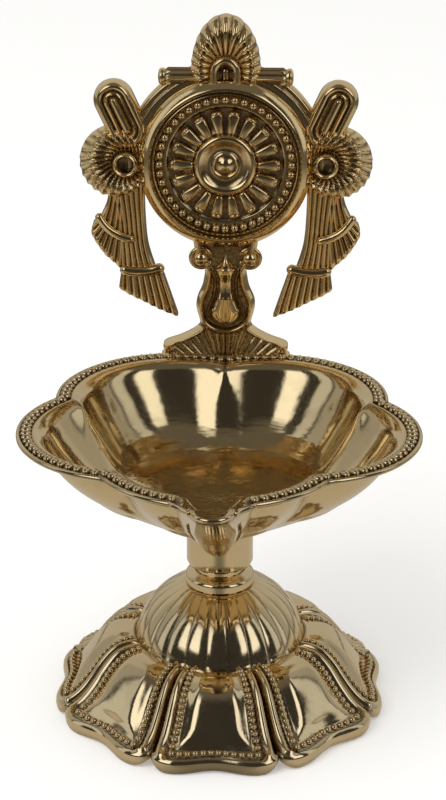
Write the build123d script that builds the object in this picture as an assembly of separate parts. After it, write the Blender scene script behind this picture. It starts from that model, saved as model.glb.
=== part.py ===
# Aarti lamp in cast and turned brass: a lotus foot, a five-lobed bowl with a spout, and a wheel plate.
# Frame in millimetres: +Z up, the lamp's axis on Z, its spout towards -Y, the table at Z = 0.

import os
from math import asin, cos, degrees, radians, sin, sqrt

from build123d import *

# Lotus foot
petal_count = 8
petal_middle_reach = 36.8
petal_corner_reach = 38.6
petal_edge_reach = 37.7
petal_notch_reach = 35.2
petal_corner_angle = 16.5
petal_edge_angle = 9.0
petal_ridge_angle = 19.6
petal_groove_angle = 17.2
petal_panel_angle = 14.0
petal_ridge_rise = 1.0
petal_groove_sink = 0.35
petal_notch_sink = 1.6
petal_panel_rise = 1.25
petal_flare = 0.9
petal_flare_share = 0.4
lip_height = 3.0
lip_bevel = 0.9
shoulder_height = 16.4
shoulder_reach = 20.0
flare_handle = (33.0, 5.0)
shoulder_handle = (28.0, 16.2)
foot_wall = 2.4

# Fluted dome on the foot
dome_base_radius = 18.5
dome_bulge = 2.1
dome_top_radius = 8.4
dome_top_height = 28.8
dome_roof = 3.0
flute_count = 24
flute_groove_radius = 0.55

# Cup collar on the dome
collar_radius = 7.9
collar_height = 3.5
collar_floor = 1.2
collar_edge = 0.7
collar_edge_height = 2.6

# Stem ferrule and its neck
neck_radius = 5.7
neck_showing = 1.3
stem_radius = 7.5
stem_length = 11.0
stem_chamfer = 1.0

# Five-lobed bowl
lobe_count = 5
lobe_offset = 18.15
rim_lobe_radius = 27.2
rim_width = 5.6
rim_thickness = 2.4
rim_bevel = 0.7
bowl_height = 24.2
bowl_lobe_radius = 21.1
bowl_wall = 2.0
bowl_floor = 2.8
bowl_fullness = 1.68
bowl_bottom_angle = 80.0
boss_radius = 5.0
boss_length = 7.0

# Spout at the front of the bowl, and the keel under it that runs down to the stem
spout_reach = 50.5
spout_half_width = 8.6
spout_lip = 2.4
spout_overhang = 0.8
spout_nose_share = 0.34
spout_nose_rise = 1.9
keel_bottom_height = 39.8
keel_bottom_reach = 9.4
keel_bottom_half_width = 2.9
keel_root_angles = (0.0, 20.0, 40.0, 60.0)
trough_rise = 1.5

# Ledge at the back of the rim, and the two screws up through it
ledge_half_width = 15.4
ledge_margin = 0.6
screw_radius = 1.0
screw_spacing = 17.0
screw_head_radius = 1.9
screw_head_height = 1.3
screw_slot_width = 0.5
screw_slot_depth = 0.6
screw_bite = 3.2

# Stud, washer and nut under the foot's roof
stud_radius = 3.0
stud_depth_in_boss = 7.8
stud_showing = 2.5
washer_radius = 6.2
washer_thickness = 1.2
nut_across_flats = 10.0
nut_height = 5.0

# Clearances
turning_clearance = 0.05
thread_clearance = 0.05
passing_clearance = 0.3
bottom_clearance = 0.3

# Wheel plate, measured from the rim up and from the lamp's middle plane out
plate_back = 43.2
plate_thickness = 3.6
plate_foot_thickness = 4.0
plate_foot_half_width = 14.6
plate_foot_end_height = 2.6
plate_ankle_half_width = 5.3
plate_ankle_height = 8.6
plate_ankle_hollow = 1.8
neck_belly_half_width = 6.3
neck_belly_height = 13.3
neck_waist_half_width = 4.55
neck_waist_height = 20.3
neck_top_half_width = 7.6
neck_ball_radius = 2.5
neck_ball_spacing = 11.8
neck_ball_height = 25.1
drop_radius = 2.7
drop_bottom_height = 9.8
drop_top_height = 23.4
wheel_radius = 19.9
wheel_height = 47.3
wheel_depth = 7.4
wheel_floor_depth = 5.0
wheel_ring_width = 2.7
bead_count = 44
bead_circle_radius = 15.4
bead_radius = 0.8
spoke_count = 20
spoke_inner_radius = 7.4
spoke_outer_radius = 11.6
spoke_width = 1.3
spoke_height = 1.2
hub_radius = 6.6
hub_height = 1.4
hub_cup_radius = 3.5
hub_cup_depth = 0.9
hub_dome_radius = 1.9
backing_radius = 23.2
crest_half_width = 8.0
crest_shoulder_height = 70.0
crest_height = 81.2
crest_bulge = 2.2
crest_depth = 5.2
bar_half_length = 15.4
bar_height = 65.2
bar_width = 3.9
bar_corner = 0.9
loop_radius = 4.6
loop_root = (23.0, 55.9)
loop_tip = (25.9, 62.6)
loop_depth = 4.8
fan_radius = 8.5
fan_centre = (25.4, 47.0)
fan_depth = 4.9
eyelet_centre = (23.1, 47.0)
eyelet_radius = 3.0
eyelet_hole_radius = 1.6
eyelet_depth = 6.0
ribbon_top = (22.7, 40.4)
ribbon_bottom = (21.2, 21.4)
ribbon_top_width = 7.4
ribbon_bottom_width = 7.2
side_fringe = ((24.8, 38.2), (30.1, 34.5), (31.6, 30.3), (29.5, 26.0), (24.9, 21.6))
low_fringe = ((24.7, 21.4), (25.5, 16.1), (19.4, 12.4), (11.4, 9.7), (15.1, 21.4))
tassel_depth = 4.2

# Heights of the stack, from the table up
collar_seat = dome_top_height
neck_seat = collar_seat + collar_floor
stem_bottom = collar_seat + collar_height + neck_showing
bowl_seat = stem_bottom + stem_length
rim_height = bowl_seat + bowl_height
flange_bottom = rim_height - rim_thickness
roof_height = dome_top_height - dome_roof
nut_top = roof_height - washer_thickness
stud_bottom = nut_top - nut_height - stud_showing
screw_reach = plate_back - plate_foot_thickness / 2
upright = (Align.CENTER, Align.CENTER, Align.MIN)


def polar(radius, angle, height=0.0):
    """Point at an angle in degrees, counted from the front of the lamp towards +X."""
    return (radius * sin(radians(angle)), -radius * cos(radians(angle)), height)


def turned(points):
    """Solid turned about Z from a closed outline of radius and height pairs."""
    outline = Polyline([(radius, 0, height) for radius, height in points], close=True)
    return revolve(make_face(outline), Axis.Z)


def pillar(radius, bottom, top, x=0.0, y=0.0):
    """Upright cylinder between two heights."""
    return Pos(x, y, bottom) * Cylinder(radius, top - bottom, align=upright)


def bezier_point(handles, share):
    """Radius and height on the cubic curve through four handles."""
    rest = 1 - share
    weights = (rest**3, 3 * rest**2 * share, 3 * rest * share**2, share**3)
    return tuple(sum(w * h[k] for w, h in zip(weights, handles)) for k in (0, 1))


# Lotus foot: eight petals drawn up into a shoulder, with a fluted dome above, hollow below
def petal_outline(reach, height):
    scale = reach / petal_middle_reach
    step = 360 / petal_count
    edges = []
    for petal in range(petal_count):
        middle = petal * step

        def at(distance, turn):
            return polar(distance * scale, middle + turn, height)

        left = at(petal_edge_reach, -petal_edge_angle)
        right = at(petal_edge_reach, petal_edge_angle)
        left_corner = at(petal_corner_reach, -petal_corner_angle)
        right_corner = at(petal_corner_reach, petal_corner_angle)
        edges.append(ThreePointArc(at(petal_notch_reach, -step / 2), left_corner, left))
        edges.append(ThreePointArc(left, at(petal_middle_reach, 0), right))
        edges.append(ThreePointArc(right, right_corner, at(petal_notch_reach, step / 2)))
    return make_face(edges)


def skirt_outline(handles, share):
    """Eight bulging panels between raised borders, at a share of the way from lip to shoulder."""
    reach, height = bezier_point(handles, share)
    flare = petal_flare * max(0, 1 - share / petal_flare_share)
    border = reach + flare - petal_groove_sink
    bulge = petal_panel_rise * 4 * share * (1 - share)
    step = 360 / petal_count
    edges = []
    for petal in range(petal_count):
        middle = petal * step

        def at(distance, turn):
            return polar(distance, middle + turn, height)

        def side(sign):
            notch = at(reach - petal_notch_sink, sign * step / 2)
            ridge = at(reach + flare + petal_ridge_rise * (1 - share / 2), sign * petal_ridge_angle)
            return notch, ridge, at(border, sign * petal_groove_angle), at(border, sign * petal_panel_angle)

        left_notch, left_ridge, left_groove, left_panel = side(-1)
        right_notch, right_ridge, right_groove, right_panel = side(1)
        edges.append(Polyline(left_notch, left_ridge, left_groove, left_panel))
        edges.append(ThreePointArc(left_panel, at(reach + bulge, 0), right_panel))
        edges.append(Polyline(right_panel, right_groove, right_ridge, right_notch))
    return make_face(edges)


def dome_arc(base_radius, base_height, top_radius, top_height):
    """Bulging arc in the XZ plane, from the foot of the dome to its top."""
    run = top_radius - base_radius
    rise = top_height - base_height
    length = sqrt(run**2 + rise**2)
    middle_radius = (base_radius + top_radius) / 2 + dome_bulge * rise / length
    middle_height = (base_height + top_height) / 2 - dome_bulge * run / length
    base = (base_radius, 0, base_height)
    return ThreePointArc(base, (middle_radius, 0, middle_height), (top_radius, 0, top_height))


def lotus_foot():
    lip_reach = petal_middle_reach - lip_bevel
    lip_sections = [
        petal_outline(lip_reach, 0),
        petal_outline(petal_middle_reach, lip_height / 2),
        petal_outline(lip_reach, lip_height),
    ]
    lip = loft(lip_sections, ruled=True)
    handles = ((lip_reach, lip_height), flare_handle, shoulder_handle, (shoulder_reach, shoulder_height))
    steps = 5
    skirt = loft([skirt_outline(handles, step / steps) for step in range(steps + 1)])

    arc = dome_arc(dome_base_radius, shoulder_height, dome_top_radius, dome_top_height)
    dome_root = shoulder_height - foot_wall
    dome_edges = [
        Line((0, 0, dome_root), (dome_base_radius, 0, dome_root)),
        Line((dome_base_radius, 0, dome_root), arc @ 0),
        arc,
        Line(arc @ 1, (0, 0, dome_top_height)),
        Line((0, 0, dome_top_height), (0, 0, dome_root)),
    ]
    dome = revolve(make_face(dome_edges), Axis.Z)
    groove = sweep(Plane(arc @ 0, z_dir=arc % 0) * Circle(flute_groove_radius), arc)
    flute_step = 360 / flute_count
    dome -= [Rot(0, 0, (flute + 0.5) * flute_step) * groove for flute in range(flute_count)]

    thin = petal_notch_reach / petal_middle_reach
    falls = (0, 0, foot_wall, foot_wall)
    inner = []
    for (radius, height), fall in zip(handles, falls):
        inner.append((radius * thin - foot_wall, 0, height - fall))
    inner_arc = dome_arc(dome_base_radius - foot_wall, dome_root, washer_radius + foot_wall, roof_height)
    mouth = (inner[0][0], 0, 0)
    hollow_edges = [
        Line((0, 0, 0), mouth),
        Line(mouth, inner[0]),
        Bezier(*inner),
        Line(inner[3], inner_arc @ 0),
        inner_arc,
        Line(inner_arc @ 1, (0, 0, roof_height)),
        Line((0, 0, roof_height), (0, 0, 0)),
    ]
    hollow = revolve(make_face(hollow_edges), Axis.Z)
    stud_hole = pillar(stud_radius + passing_clearance, roof_height, dome_top_height)
    return lip + skirt + dome - hollow - stud_hole


# Cup collar: a turned ring with a rounded edge, sloping up to the neck of the stem that sits in it
def foot_collar():
    top = collar_seat + collar_height
    hole = stud_radius + passing_clearance
    cup = neck_radius + turning_clearance
    edge = collar_radius - collar_edge
    edge_top = collar_seat + collar_edge_height
    widest = (collar_radius, 0, (collar_seat + edge_top) / 2)
    round_edge = ThreePointArc((edge, 0, collar_seat), widest, (edge, 0, edge_top))
    inside = Polyline(
        (edge, 0, edge_top),
        (cup, 0, top),
        (cup, 0, neck_seat),
        (hole, 0, neck_seat),
        (hole, 0, collar_seat),
        (edge, 0, collar_seat),
    )
    return revolve(make_face([round_edge, *inside.edges()]), Axis.Z)


# Stem: a turned ferrule, bored for the stud and counterbored for the boss under the bowl
def stem():
    bore = stud_radius + passing_clearance
    counterbore = boss_radius + turning_clearance
    boss_bottom = bowl_seat - boss_length - bottom_clearance
    return turned(
        [
            (bore, neck_seat),
            (neck_radius, neck_seat),
            (neck_radius, stem_bottom),
            (stem_radius - stem_chamfer, stem_bottom),
            (stem_radius, stem_bottom + stem_chamfer),
            (stem_radius, bowl_seat),
            (counterbore, bowl_seat),
            (counterbore, boss_bottom),
            (bore, boss_bottom),
        ]
    )


# Bowl: lobed shell under a wide flange, with a spout and keel, a boss below and a ledge behind
def bowl_outline(lobe_radius, shrink, height):
    step = 360 / lobe_count
    half = radians(step / 2)
    cusp = lobe_offset * cos(half) + sqrt(lobe_radius**2 - (lobe_offset * sin(half)) ** 2)
    arcs = []
    for lobe in range(lobe_count):
        start = polar(cusp * shrink, (lobe - 0.5) * step, height)
        apex = polar((lobe_offset + lobe_radius) * shrink, lobe * step, height)
        arcs.append(ThreePointArc(start, apex, polar(cusp * shrink, (lobe + 0.5) * step, height)))
    return make_face(arcs)


def spout_outline(reach, half_width, root, height):
    """Flat V with a rounded nose, from a root line inside the bowl out to the spout's tip."""
    nose_half = half_width * spout_nose_share
    nose = -reach + spout_nose_rise * half_width / spout_half_width
    left = (-half_width, -root, height)
    right = (half_width, -root, height)
    left_nose = (-nose_half, nose, height)
    right_nose = (nose_half, nose, height)
    edges = [
        Line(left, left_nose),
        ThreePointArc(left_nose, (0, -reach, height), right_nose),
        Line(right_nose, right),
        Line(right, left),
    ]
    return make_face(edges)


def dished(lobe_radius, top, bottom):
    """Solid that narrows from the lobed outline at its top to a small flat at its bottom."""
    steps = 6
    power = 2 / bowl_fullness
    depth = (top - bottom) / sin(radians(bowl_bottom_angle)) ** power
    sections = []
    for step in range(steps + 1):
        angle = radians(bowl_bottom_angle * step / steps)
        height = top - depth * sin(angle) ** power
        sections.append(bowl_outline(lobe_radius, cos(angle) ** power, height))
    return loft(sections)


def screw_places():
    return [(side * screw_spacing / 2, screw_reach) for side in (-1, 1)]


def rim_flange():
    """Flange with a bevelled edge, lobed all round, and the lip of the spout in front."""
    middle = flange_bottom + rim_thickness / 2
    root = lobe_offset + rim_lobe_radius - rim_width / 2
    lobes = []
    lips = []
    for height, inset in ((flange_bottom, rim_bevel), (middle, 0), (rim_height, rim_bevel)):
        lobes.append(bowl_outline(rim_lobe_radius - inset, 1, height))
        lips.append(spout_outline(spout_reach - inset, spout_half_width - inset, root, height))
    return loft(lobes, ruled=True) + loft(lips, ruled=True)


def keel():
    """Straight V under the spout, from the flange down to the front of the stem."""
    power = 2 / bowl_fullness
    depth = (flange_bottom - bowl_seat) / sin(radians(bowl_bottom_angle)) ** power
    top_reach = spout_reach - spout_overhang
    top_half_width = spout_half_width - spout_overhang
    sections = []
    for angle in keel_root_angles:
        shrink = cos(radians(angle)) ** power
        height = flange_bottom - depth * sin(radians(angle)) ** power
        share = (height - keel_bottom_height) / (flange_bottom - keel_bottom_height)
        reach = keel_bottom_reach + share * (top_reach - keel_bottom_reach)
        half_width = keel_bottom_half_width + share * (top_half_width - keel_bottom_half_width)
        lobe = lobe_offset + sqrt(bowl_lobe_radius**2 - (half_width / shrink) ** 2)
        sections.append(spout_outline(reach, half_width, shrink * lobe - passing_clearance, height))
    sections.append(
        spout_outline(keel_bottom_reach, keel_bottom_half_width, stem_radius / 2, keel_bottom_height)
    )
    room = pillar(stem_radius + turning_clearance, keel_bottom_height, bowl_seat)
    return loft(sections, ruled=True) - room


def trough():
    """Room inside the spout, drawn in from its edge by the lip and from the keel by the wall."""
    top_reach = spout_reach - spout_lip
    top_half_width = spout_half_width - spout_lip / 2
    inner_radius = rim_lobe_radius - rim_width
    root = lobe_offset + sqrt(inner_radius**2 - top_half_width**2) - passing_clearance
    bottom_height = bowl_seat + bowl_floor + trough_rise
    share = (bottom_height - keel_bottom_height) / (rim_height - keel_bottom_height)
    reach = keel_bottom_reach + share * (top_reach - keel_bottom_reach) - bowl_wall
    half_width = keel_bottom_half_width + share * (top_half_width - keel_bottom_half_width) - bowl_wall
    top = spout_outline(top_reach, top_half_width, root, rim_height)
    bottom = spout_outline(reach, half_width, 0, bottom_height)
    return loft([top, bottom], ruled=True)


def bowl():
    inner_radius = rim_lobe_radius - rim_width
    dish_radius = bowl_lobe_radius - bowl_wall
    body = dished(bowl_lobe_radius, flange_bottom, bowl_seat)
    throat_bottom = bowl_outline(dish_radius, 1, flange_bottom)
    throat_top = bowl_outline(inner_radius, 1, rim_height)
    throat = loft([throat_bottom, throat_top], ruled=True)
    hollow = dished(dish_radius, flange_bottom, bowl_seat + bowl_floor)

    ledge_front = plate_back - plate_foot_thickness
    ledge_back = plate_back + ledge_margin
    ledge_size = (2 * ledge_half_width, ledge_back - ledge_front, rim_thickness)
    ledge = Pos(0, (ledge_front + ledge_back) / 2, flange_bottom) * Box(*ledge_size, align=upright)
    screw_holes = [
        pillar(screw_radius + passing_clearance, flange_bottom, rim_height, x, y) for x, y in screw_places()
    ]
    boss_bottom = bowl_seat - boss_length
    boss = pillar(boss_radius, boss_bottom, bowl_seat)
    tapped_top = boss_bottom + stud_depth_in_boss + bottom_clearance
    tapped = pillar(stud_radius + thread_clearance, boss_bottom, tapped_top)
    shell = rim_flange() + body + keel() + ledge - throat - hollow - trough()
    return shell + boss - tapped - screw_holes


# Stud, washer and nut: they hold the foot, collar, stem and bowl together from below
def stem_stud():
    top = bowl_seat - boss_length + stud_depth_in_boss
    rod = pillar(stud_radius, stud_bottom, top)
    return chamfer(rod.edges().group_by(Axis.Z)[0], passing_clearance)


def stud_washer():
    hole = stud_radius + passing_clearance
    return turned(
        [(hole, nut_top), (washer_radius, nut_top), (washer_radius, roof_height), (hole, roof_height)]
    )


def stud_nut():
    hexagon = RegularPolygon(nut_across_flats / 2, 6, major_radius=False)
    blank = extrude(hexagon - Circle(stud_radius + thread_clearance), nut_height)
    return Pos(0, 0, nut_top - nut_height) * blank


# Wheel plate: one casting, drawn flat with X to the right, Y up from the rim and Z towards the front
def plate_column():
    """Flared foot, ankle and baluster neck up to the wheel."""
    foot_end = (plate_foot_half_width, plate_foot_end_height)
    ankle = (plate_ankle_half_width, plate_ankle_height)
    hollow = (
        (foot_end[0] + ankle[0]) / 2 - plate_ankle_hollow / 2,
        (foot_end[1] + ankle[1]) / 2 - plate_ankle_hollow / 2,
    )
    waist = (neck_waist_half_width, neck_waist_height)
    ball = (neck_ball_spacing / 2 + neck_ball_radius, neck_ball_height)
    top = (neck_top_half_width, wheel_height - wheel_radius + wheel_ring_width)
    side = [
        Line((0, 0), (plate_foot_half_width, 0)),
        Line((plate_foot_half_width, 0), foot_end),
        ThreePointArc(foot_end, hollow, ankle),
        ThreePointArc(ankle, (neck_belly_half_width, neck_belly_height), waist),
        Line(waist, ball),
        Line(ball, top),
        Line(top, (0, top[1])),
        Line((0, top[1]), (0, 0)),
    ]
    half = extrude(make_face(side), plate_foot_thickness)
    column = half + mirror(half, Plane.YZ)
    balls = [
        Pos(side * neck_ball_spacing / 2, neck_ball_height, plate_foot_thickness) * Sphere(neck_ball_radius)
        for side in (-1, 1)
    ]
    drop_middle = (drop_radius, (drop_bottom_height + drop_top_height) / 2)
    drop_edges = [
        ThreePointArc((0, drop_bottom_height), drop_middle, (0, drop_top_height)),
        Line((0, drop_top_height), (0, drop_bottom_height)),
    ]
    drop = Pos(0, 0, plate_foot_thickness) * revolve(make_face(drop_edges), Axis.Y)
    return column + balls + drop


def wheel():
    """Deep ring round a sunk floor with beads, spokes and a cupped hub."""
    centre = Pos(0, wheel_height, 0)
    inner = wheel_radius - wheel_ring_width
    disc = Cylinder(wheel_radius, wheel_depth, align=upright)
    disc -= Pos(0, 0, wheel_floor_depth) * Cylinder(inner, wheel_depth, align=upright)
    bead = Pos(bead_circle_radius, 0, wheel_floor_depth) * Sphere(bead_radius)
    beads = [Rot(0, 0, turn * 360 / bead_count) * bead for turn in range(bead_count)]
    spoke_length = spoke_outer_radius - spoke_inner_radius
    spoke_middle = (spoke_outer_radius + spoke_inner_radius) / 2
    spoke = Pos(spoke_middle, 0, wheel_floor_depth) * Box(spoke_length, spoke_width, 2 * spoke_height)
    spokes = [Rot(0, 0, turn * 360 / spoke_count) * spoke for turn in range(spoke_count)]
    hub = Pos(0, 0, wheel_floor_depth) * Cylinder(hub_radius, hub_height, align=upright)
    cup_floor = wheel_floor_depth + hub_height - hub_cup_depth
    hub -= Pos(0, 0, cup_floor) * Cylinder(hub_cup_radius, hub_height, align=upright)
    dome = Pos(0, 0, cup_floor) * Sphere(hub_dome_radius)
    return centre * (disc + beads + spokes + hub + dome)


def crest_and_bars():
    """Backing behind the wheel's upper half, with two bars and a pointed crest on it."""
    backing = Pos(0, wheel_height) * Circle(backing_radius)
    lower = Pos(0, wheel_height) * Rectangle(
        2 * backing_radius, backing_radius, align=(Align.CENTER, Align.MAX)
    )
    backing_plate = extrude(backing - lower, plate_thickness)
    bar_shape = RectangleRounded(2 * bar_half_length, bar_width, bar_corner)
    bars = Pos(0, bar_height + bar_width / 2) * bar_shape
    shoulder = (crest_half_width, crest_shoulder_height)
    flank = (crest_half_width / 2 + crest_bulge, (crest_shoulder_height + crest_height) / 2 + crest_bulge)
    root = wheel_height + wheel_radius - wheel_ring_width / 2
    half_crest = make_face(
        [
            Line((0, root), (crest_half_width, root)),
            Line((crest_half_width, root), shoulder),
            ThreePointArc(shoulder, flank, (0, crest_height)),
            Line((0, crest_height), (0, root)),
        ]
    )
    crest = extrude(half_crest, crest_depth)
    return backing_plate + extrude(bars, plate_foot_thickness) + crest + mirror(crest, Plane.YZ)


def side_ornament():
    """Loop, fan with its eyelet, ribbon and two tassels on the right-hand side of the wheel."""
    loop_length = (Vector(*loop_tip) - Vector(*loop_root)).length
    lean = degrees(asin((loop_tip[0] - loop_root[0]) / loop_length))
    middle = ((loop_root[0] + loop_tip[0]) / 2, (loop_root[1] + loop_tip[1]) / 2)
    loop = Pos(*middle) * Rot(0, 0, 90 - lean) * SlotCenterToCenter(loop_length, 2 * loop_radius)
    fan = Pos(*fan_centre) * Cylinder(fan_radius, fan_depth, align=upright)
    eyelet = Pos(*eyelet_centre) * Cylinder(eyelet_radius, eyelet_depth, align=upright)
    eyelet_place = Pos(*eyelet_centre, plate_thickness)
    eyelet_hole = eyelet_place * Cylinder(eyelet_hole_radius, eyelet_depth, align=upright)
    ribbon = make_face(
        Polyline(
            (ribbon_top[0] - ribbon_top_width / 2, ribbon_top[1]),
            (ribbon_bottom[0] - ribbon_bottom_width / 2, ribbon_bottom[1]),
            (ribbon_bottom[0] + ribbon_bottom_width / 2, ribbon_bottom[1]),
            (ribbon_top[0] + ribbon_top_width / 2, ribbon_top[1]),
            close=True,
        )
    )
    start, cuff, edge, low, end = side_fringe
    side_tassel = make_face(
        [Line(start, cuff), ThreePointArc(cuff, edge, low), Line(low, end), Line(end, start)]
    )
    start, corner, edge, tip, end = low_fringe
    low_tassel = make_face(
        [Line(start, corner), ThreePointArc(corner, edge, tip), Line(tip, end), Line(end, start)]
    )
    tassels = extrude(side_tassel, tassel_depth) + extrude(low_tassel, tassel_depth)
    hanging = extrude(ribbon, plate_thickness) + tassels
    return extrude(loop, loop_depth) + fan + eyelet + hanging - eyelet_hole


def wheel_plate():
    right = side_ornament()
    casting = plate_column() + wheel() + crest_and_bars() + right + mirror(right, Plane.YZ)
    standing = Plane((0, plate_back, rim_height), x_dir=(1, 0, 0), z_dir=(0, -1, 0))
    hole_top = rim_height + screw_bite + bottom_clearance
    hole_radius = screw_radius + thread_clearance
    screw_holes = [pillar(hole_radius, rim_height, hole_top, x, y) for x, y in screw_places()]
    return standing.location * casting - screw_holes


# Two slotted screws, driven from below through the ledge into the foot of the plate
def plate_screws():
    head_bottom = flange_bottom - screw_head_height
    screws = []
    for x, y in screw_places():
        shank = pillar(screw_radius, flange_bottom, rim_height + screw_bite, x, y)
        head = pillar(screw_head_radius, head_bottom, flange_bottom, x, y)
        slot = Pos(x, y, head_bottom) * Box(2 * screw_head_radius, screw_slot_width, 2 * screw_slot_depth)
        screws.append(shank + head - slot)
    return Compound(screws)


os.makedirs("parts", exist_ok=True)
export_step(lotus_foot(), "parts/lotus_foot.step")
export_step(foot_collar(), "parts/foot_collar.step")
export_step(stem(), "parts/stem.step")
export_step(bowl(), "parts/bowl.step")
export_step(stem_stud(), "parts/stem_stud.step")
export_step(stud_washer(), "parts/stud_washer.step")
export_step(stud_nut(), "parts/stud_nut.step")
export_step(wheel_plate(), "parts/wheel_plate.step")
export_step(plate_screws(), "parts/plate_screws.step")
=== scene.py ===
from math import atan2, cos, degrees, hypot, pi, radians, sin, sqrt

import bmesh
import bpy
from mathutils import Matrix, Vector


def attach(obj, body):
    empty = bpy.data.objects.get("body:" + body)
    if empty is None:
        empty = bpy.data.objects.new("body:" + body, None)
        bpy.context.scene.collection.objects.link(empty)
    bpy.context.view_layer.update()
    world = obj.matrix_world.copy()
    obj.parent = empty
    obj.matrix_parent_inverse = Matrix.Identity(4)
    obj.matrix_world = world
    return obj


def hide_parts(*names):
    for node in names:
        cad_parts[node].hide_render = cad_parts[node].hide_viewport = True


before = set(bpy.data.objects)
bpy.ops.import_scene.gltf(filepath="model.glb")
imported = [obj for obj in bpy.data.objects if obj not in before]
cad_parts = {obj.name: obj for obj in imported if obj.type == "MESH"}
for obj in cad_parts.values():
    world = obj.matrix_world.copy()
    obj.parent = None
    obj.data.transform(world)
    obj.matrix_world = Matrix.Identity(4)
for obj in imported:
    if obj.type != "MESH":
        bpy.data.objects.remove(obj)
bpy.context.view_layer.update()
scene = bpy.context.scene
scene.view_settings.view_transform = "Standard"

# Camera
# The lamp is seen square to its spout, from a little above the bowl, with a long lens.
# The shift puts the lamp where it stands in the frame of 446 x 800.
camera_aim = Vector((0, 0, 0.070))
camera_azimuth = radians(1.90)
camera_elevation = radians(22.40)
camera_distance = 0.45097
camera_data = bpy.data.cameras.new("camera")
camera_data.sensor_width = 36
camera_data.lens = 91.82
camera_data.shift_x = 0.0039
camera_data.shift_y = 0.0169
camera_data.clip_start = 0.01
camera = bpy.data.objects.new("camera", camera_data)
scene.collection.objects.link(camera)
camera_back = Vector(
    (
        sin(camera_azimuth) * cos(camera_elevation),
        -cos(camera_azimuth) * cos(camera_elevation),
        sin(camera_elevation),
    )
)
camera.location = camera_aim + camera_back * camera_distance
camera.rotation_mode = "QUATERNION"
camera.rotation_quaternion = camera_back.to_track_quat("Z", "Y")
camera.rotation_mode = "XYZ"
scene.camera = camera

# Floor, room and light
# A plain pale floor under soft light. Polished brass is seen by what it mirrors, so a room
# with two daylight windows stands round the lamp, and only mirrored rays see it.
def linear(code, alpha=1.0):
    """A colour from its sRGB hex code."""
    parts = [int(code[place : place + 2], 16) / 255 for place in (1, 3, 5)]
    return tuple(c / 12.92 if c <= 0.04045 else ((c + 0.055) / 1.055) ** 2.4 for c in parts) + (alpha,)


def add_node(tree, kind, values=None, pick=0, **settings):
    """Adds a node and gives the output picked, or all of them; an input given as a socket is linked."""
    node = tree.nodes.new("ShaderNode" + kind)
    for name, value in settings.items():
        setattr(node, name, value)
    for key, value in (values or {}).items():
        if isinstance(value, bpy.types.NodeSocket):
            tree.links.new(value, node.inputs[key])
        else:
            node.inputs[key].default_value = value
    return node.outputs if pick is None else node.outputs[pick]


def new_material(name):
    """An empty material, its tree, and the socket that takes its shader."""
    material = bpy.data.materials.new(name)
    material.use_nodes = True
    tree = material.node_tree
    tree.nodes.clear()
    return material, tree, tree.nodes.new("ShaderNodeOutputMaterial").inputs["Surface"]


floor_half = 3.0
bpy.ops.object.select_all(action="DESELECT")
bpy.ops.mesh.primitive_plane_add(size=2 * floor_half)
floor = bpy.context.object
floor.name = "floor"
floor_paper, tree, surface = new_material("white_paper_floor")
place = add_node(tree, "TexCoord", pick="Object")
rays = add_node(tree, "LightPath", pick=None)
reach = add_node(tree, "VectorMath", {0: place}, "Value", operation="LENGTH")
# What metal mirrors of the floor is a painted pool of light that glows brightest near the lamp and fades
# outwards: from and to a distance in metres, and the strength at each
painted_light_pool = {0: reach, 1: 0.10, 2: 0.50, 3: 0.62, 4: 0.16}
near = add_node(tree, "MapRange", painted_light_pool, interpolation_type="SMOOTHSTEP")
# Whoever looks at the lamp stands in the light, so metal mirrors a painted shadow: a darker strip of floor in
# front
spot = add_node(tree, "SeparateXYZ", {0: place}, None)
ahead = add_node(tree, "Math", {0: spot["Y"], 1: -1.0}, operation="MULTIPLY")
turned = add_node(tree, "Math", {0: spot["X"], 1: ahead}, operation="ARCTAN2")
aside = add_node(tree, "Math", {0: turned}, operation="ABSOLUTE")
front_strip = {0: aside, 1: radians(4), 2: radians(30), 3: 0.40, 4: 1.0}
painted_viewer_shadow = add_node(tree, "MapRange", front_strip, interpolation_type="SMOOTHSTEP")
near = add_node(tree, "Math", {0: near, 1: painted_viewer_shadow}, operation="MULTIPLY")
# Mirrored rays see the floor glow with this painted light and painted shadow instead of the lit paper
mirrored = add_node(tree, "Emission", {"Color": linear("#EFE9DD"), "Strength": near})
paper = add_node(tree, "BsdfDiffuse", {"Color": linear("#F4F3F0")})
# Far from the lamp the light falls off, so the paper is lifted there to meet the white backdrop
fall_off = {0: reach, 1: 0.85, 2: 1.8, 3: 0.27, 4: 0.37}
far = add_node(tree, "MapRange", fall_off, interpolation_type="SMOOTHSTEP")
lift = add_node(tree, "Math", {0: rays["Is Camera Ray"], 1: far}, operation="MULTIPLY")
backlit = add_node(tree, "Emission", {"Color": linear("#FFFFFF"), "Strength": lift})
white = add_node(tree, "AddShader", {0: paper, 1: backlit})
seen = add_node(tree, "MixShader", {0: rays["Is Glossy Ray"], 1: white, 2: mirrored})
tree.links.new(seen, surface)
floor.data.materials.append(floor_paper)

room_radius = 2.5
bpy.ops.object.select_all(action="DESELECT")
bpy.ops.mesh.primitive_uv_sphere_add(segments=64, ring_count=32, radius=room_radius)
room = bpy.context.object
room.name = "room"
room.visible_camera = False
room.visible_diffuse = False
room.visible_shadow = False
room.visible_transmission = False
room_walls, tree, surface = new_material("painted_room_walls")
place = add_node(tree, "TexCoord", pick="Object")
way = add_node(tree, "VectorMath", {0: place}, operation="NORMALIZE")
parts = add_node(tree, "SeparateXYZ", {0: way}, None)
front = add_node(tree, "Math", {0: parts["Y"], 1: -1.0}, operation="MULTIPLY")
azimuth = add_node(tree, "Math", {0: parts["X"], 1: front}, operation="ARCTAN2")
elevation = add_node(tree, "Math", {0: parts["Z"]}, operation="ARCSINE")
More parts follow.
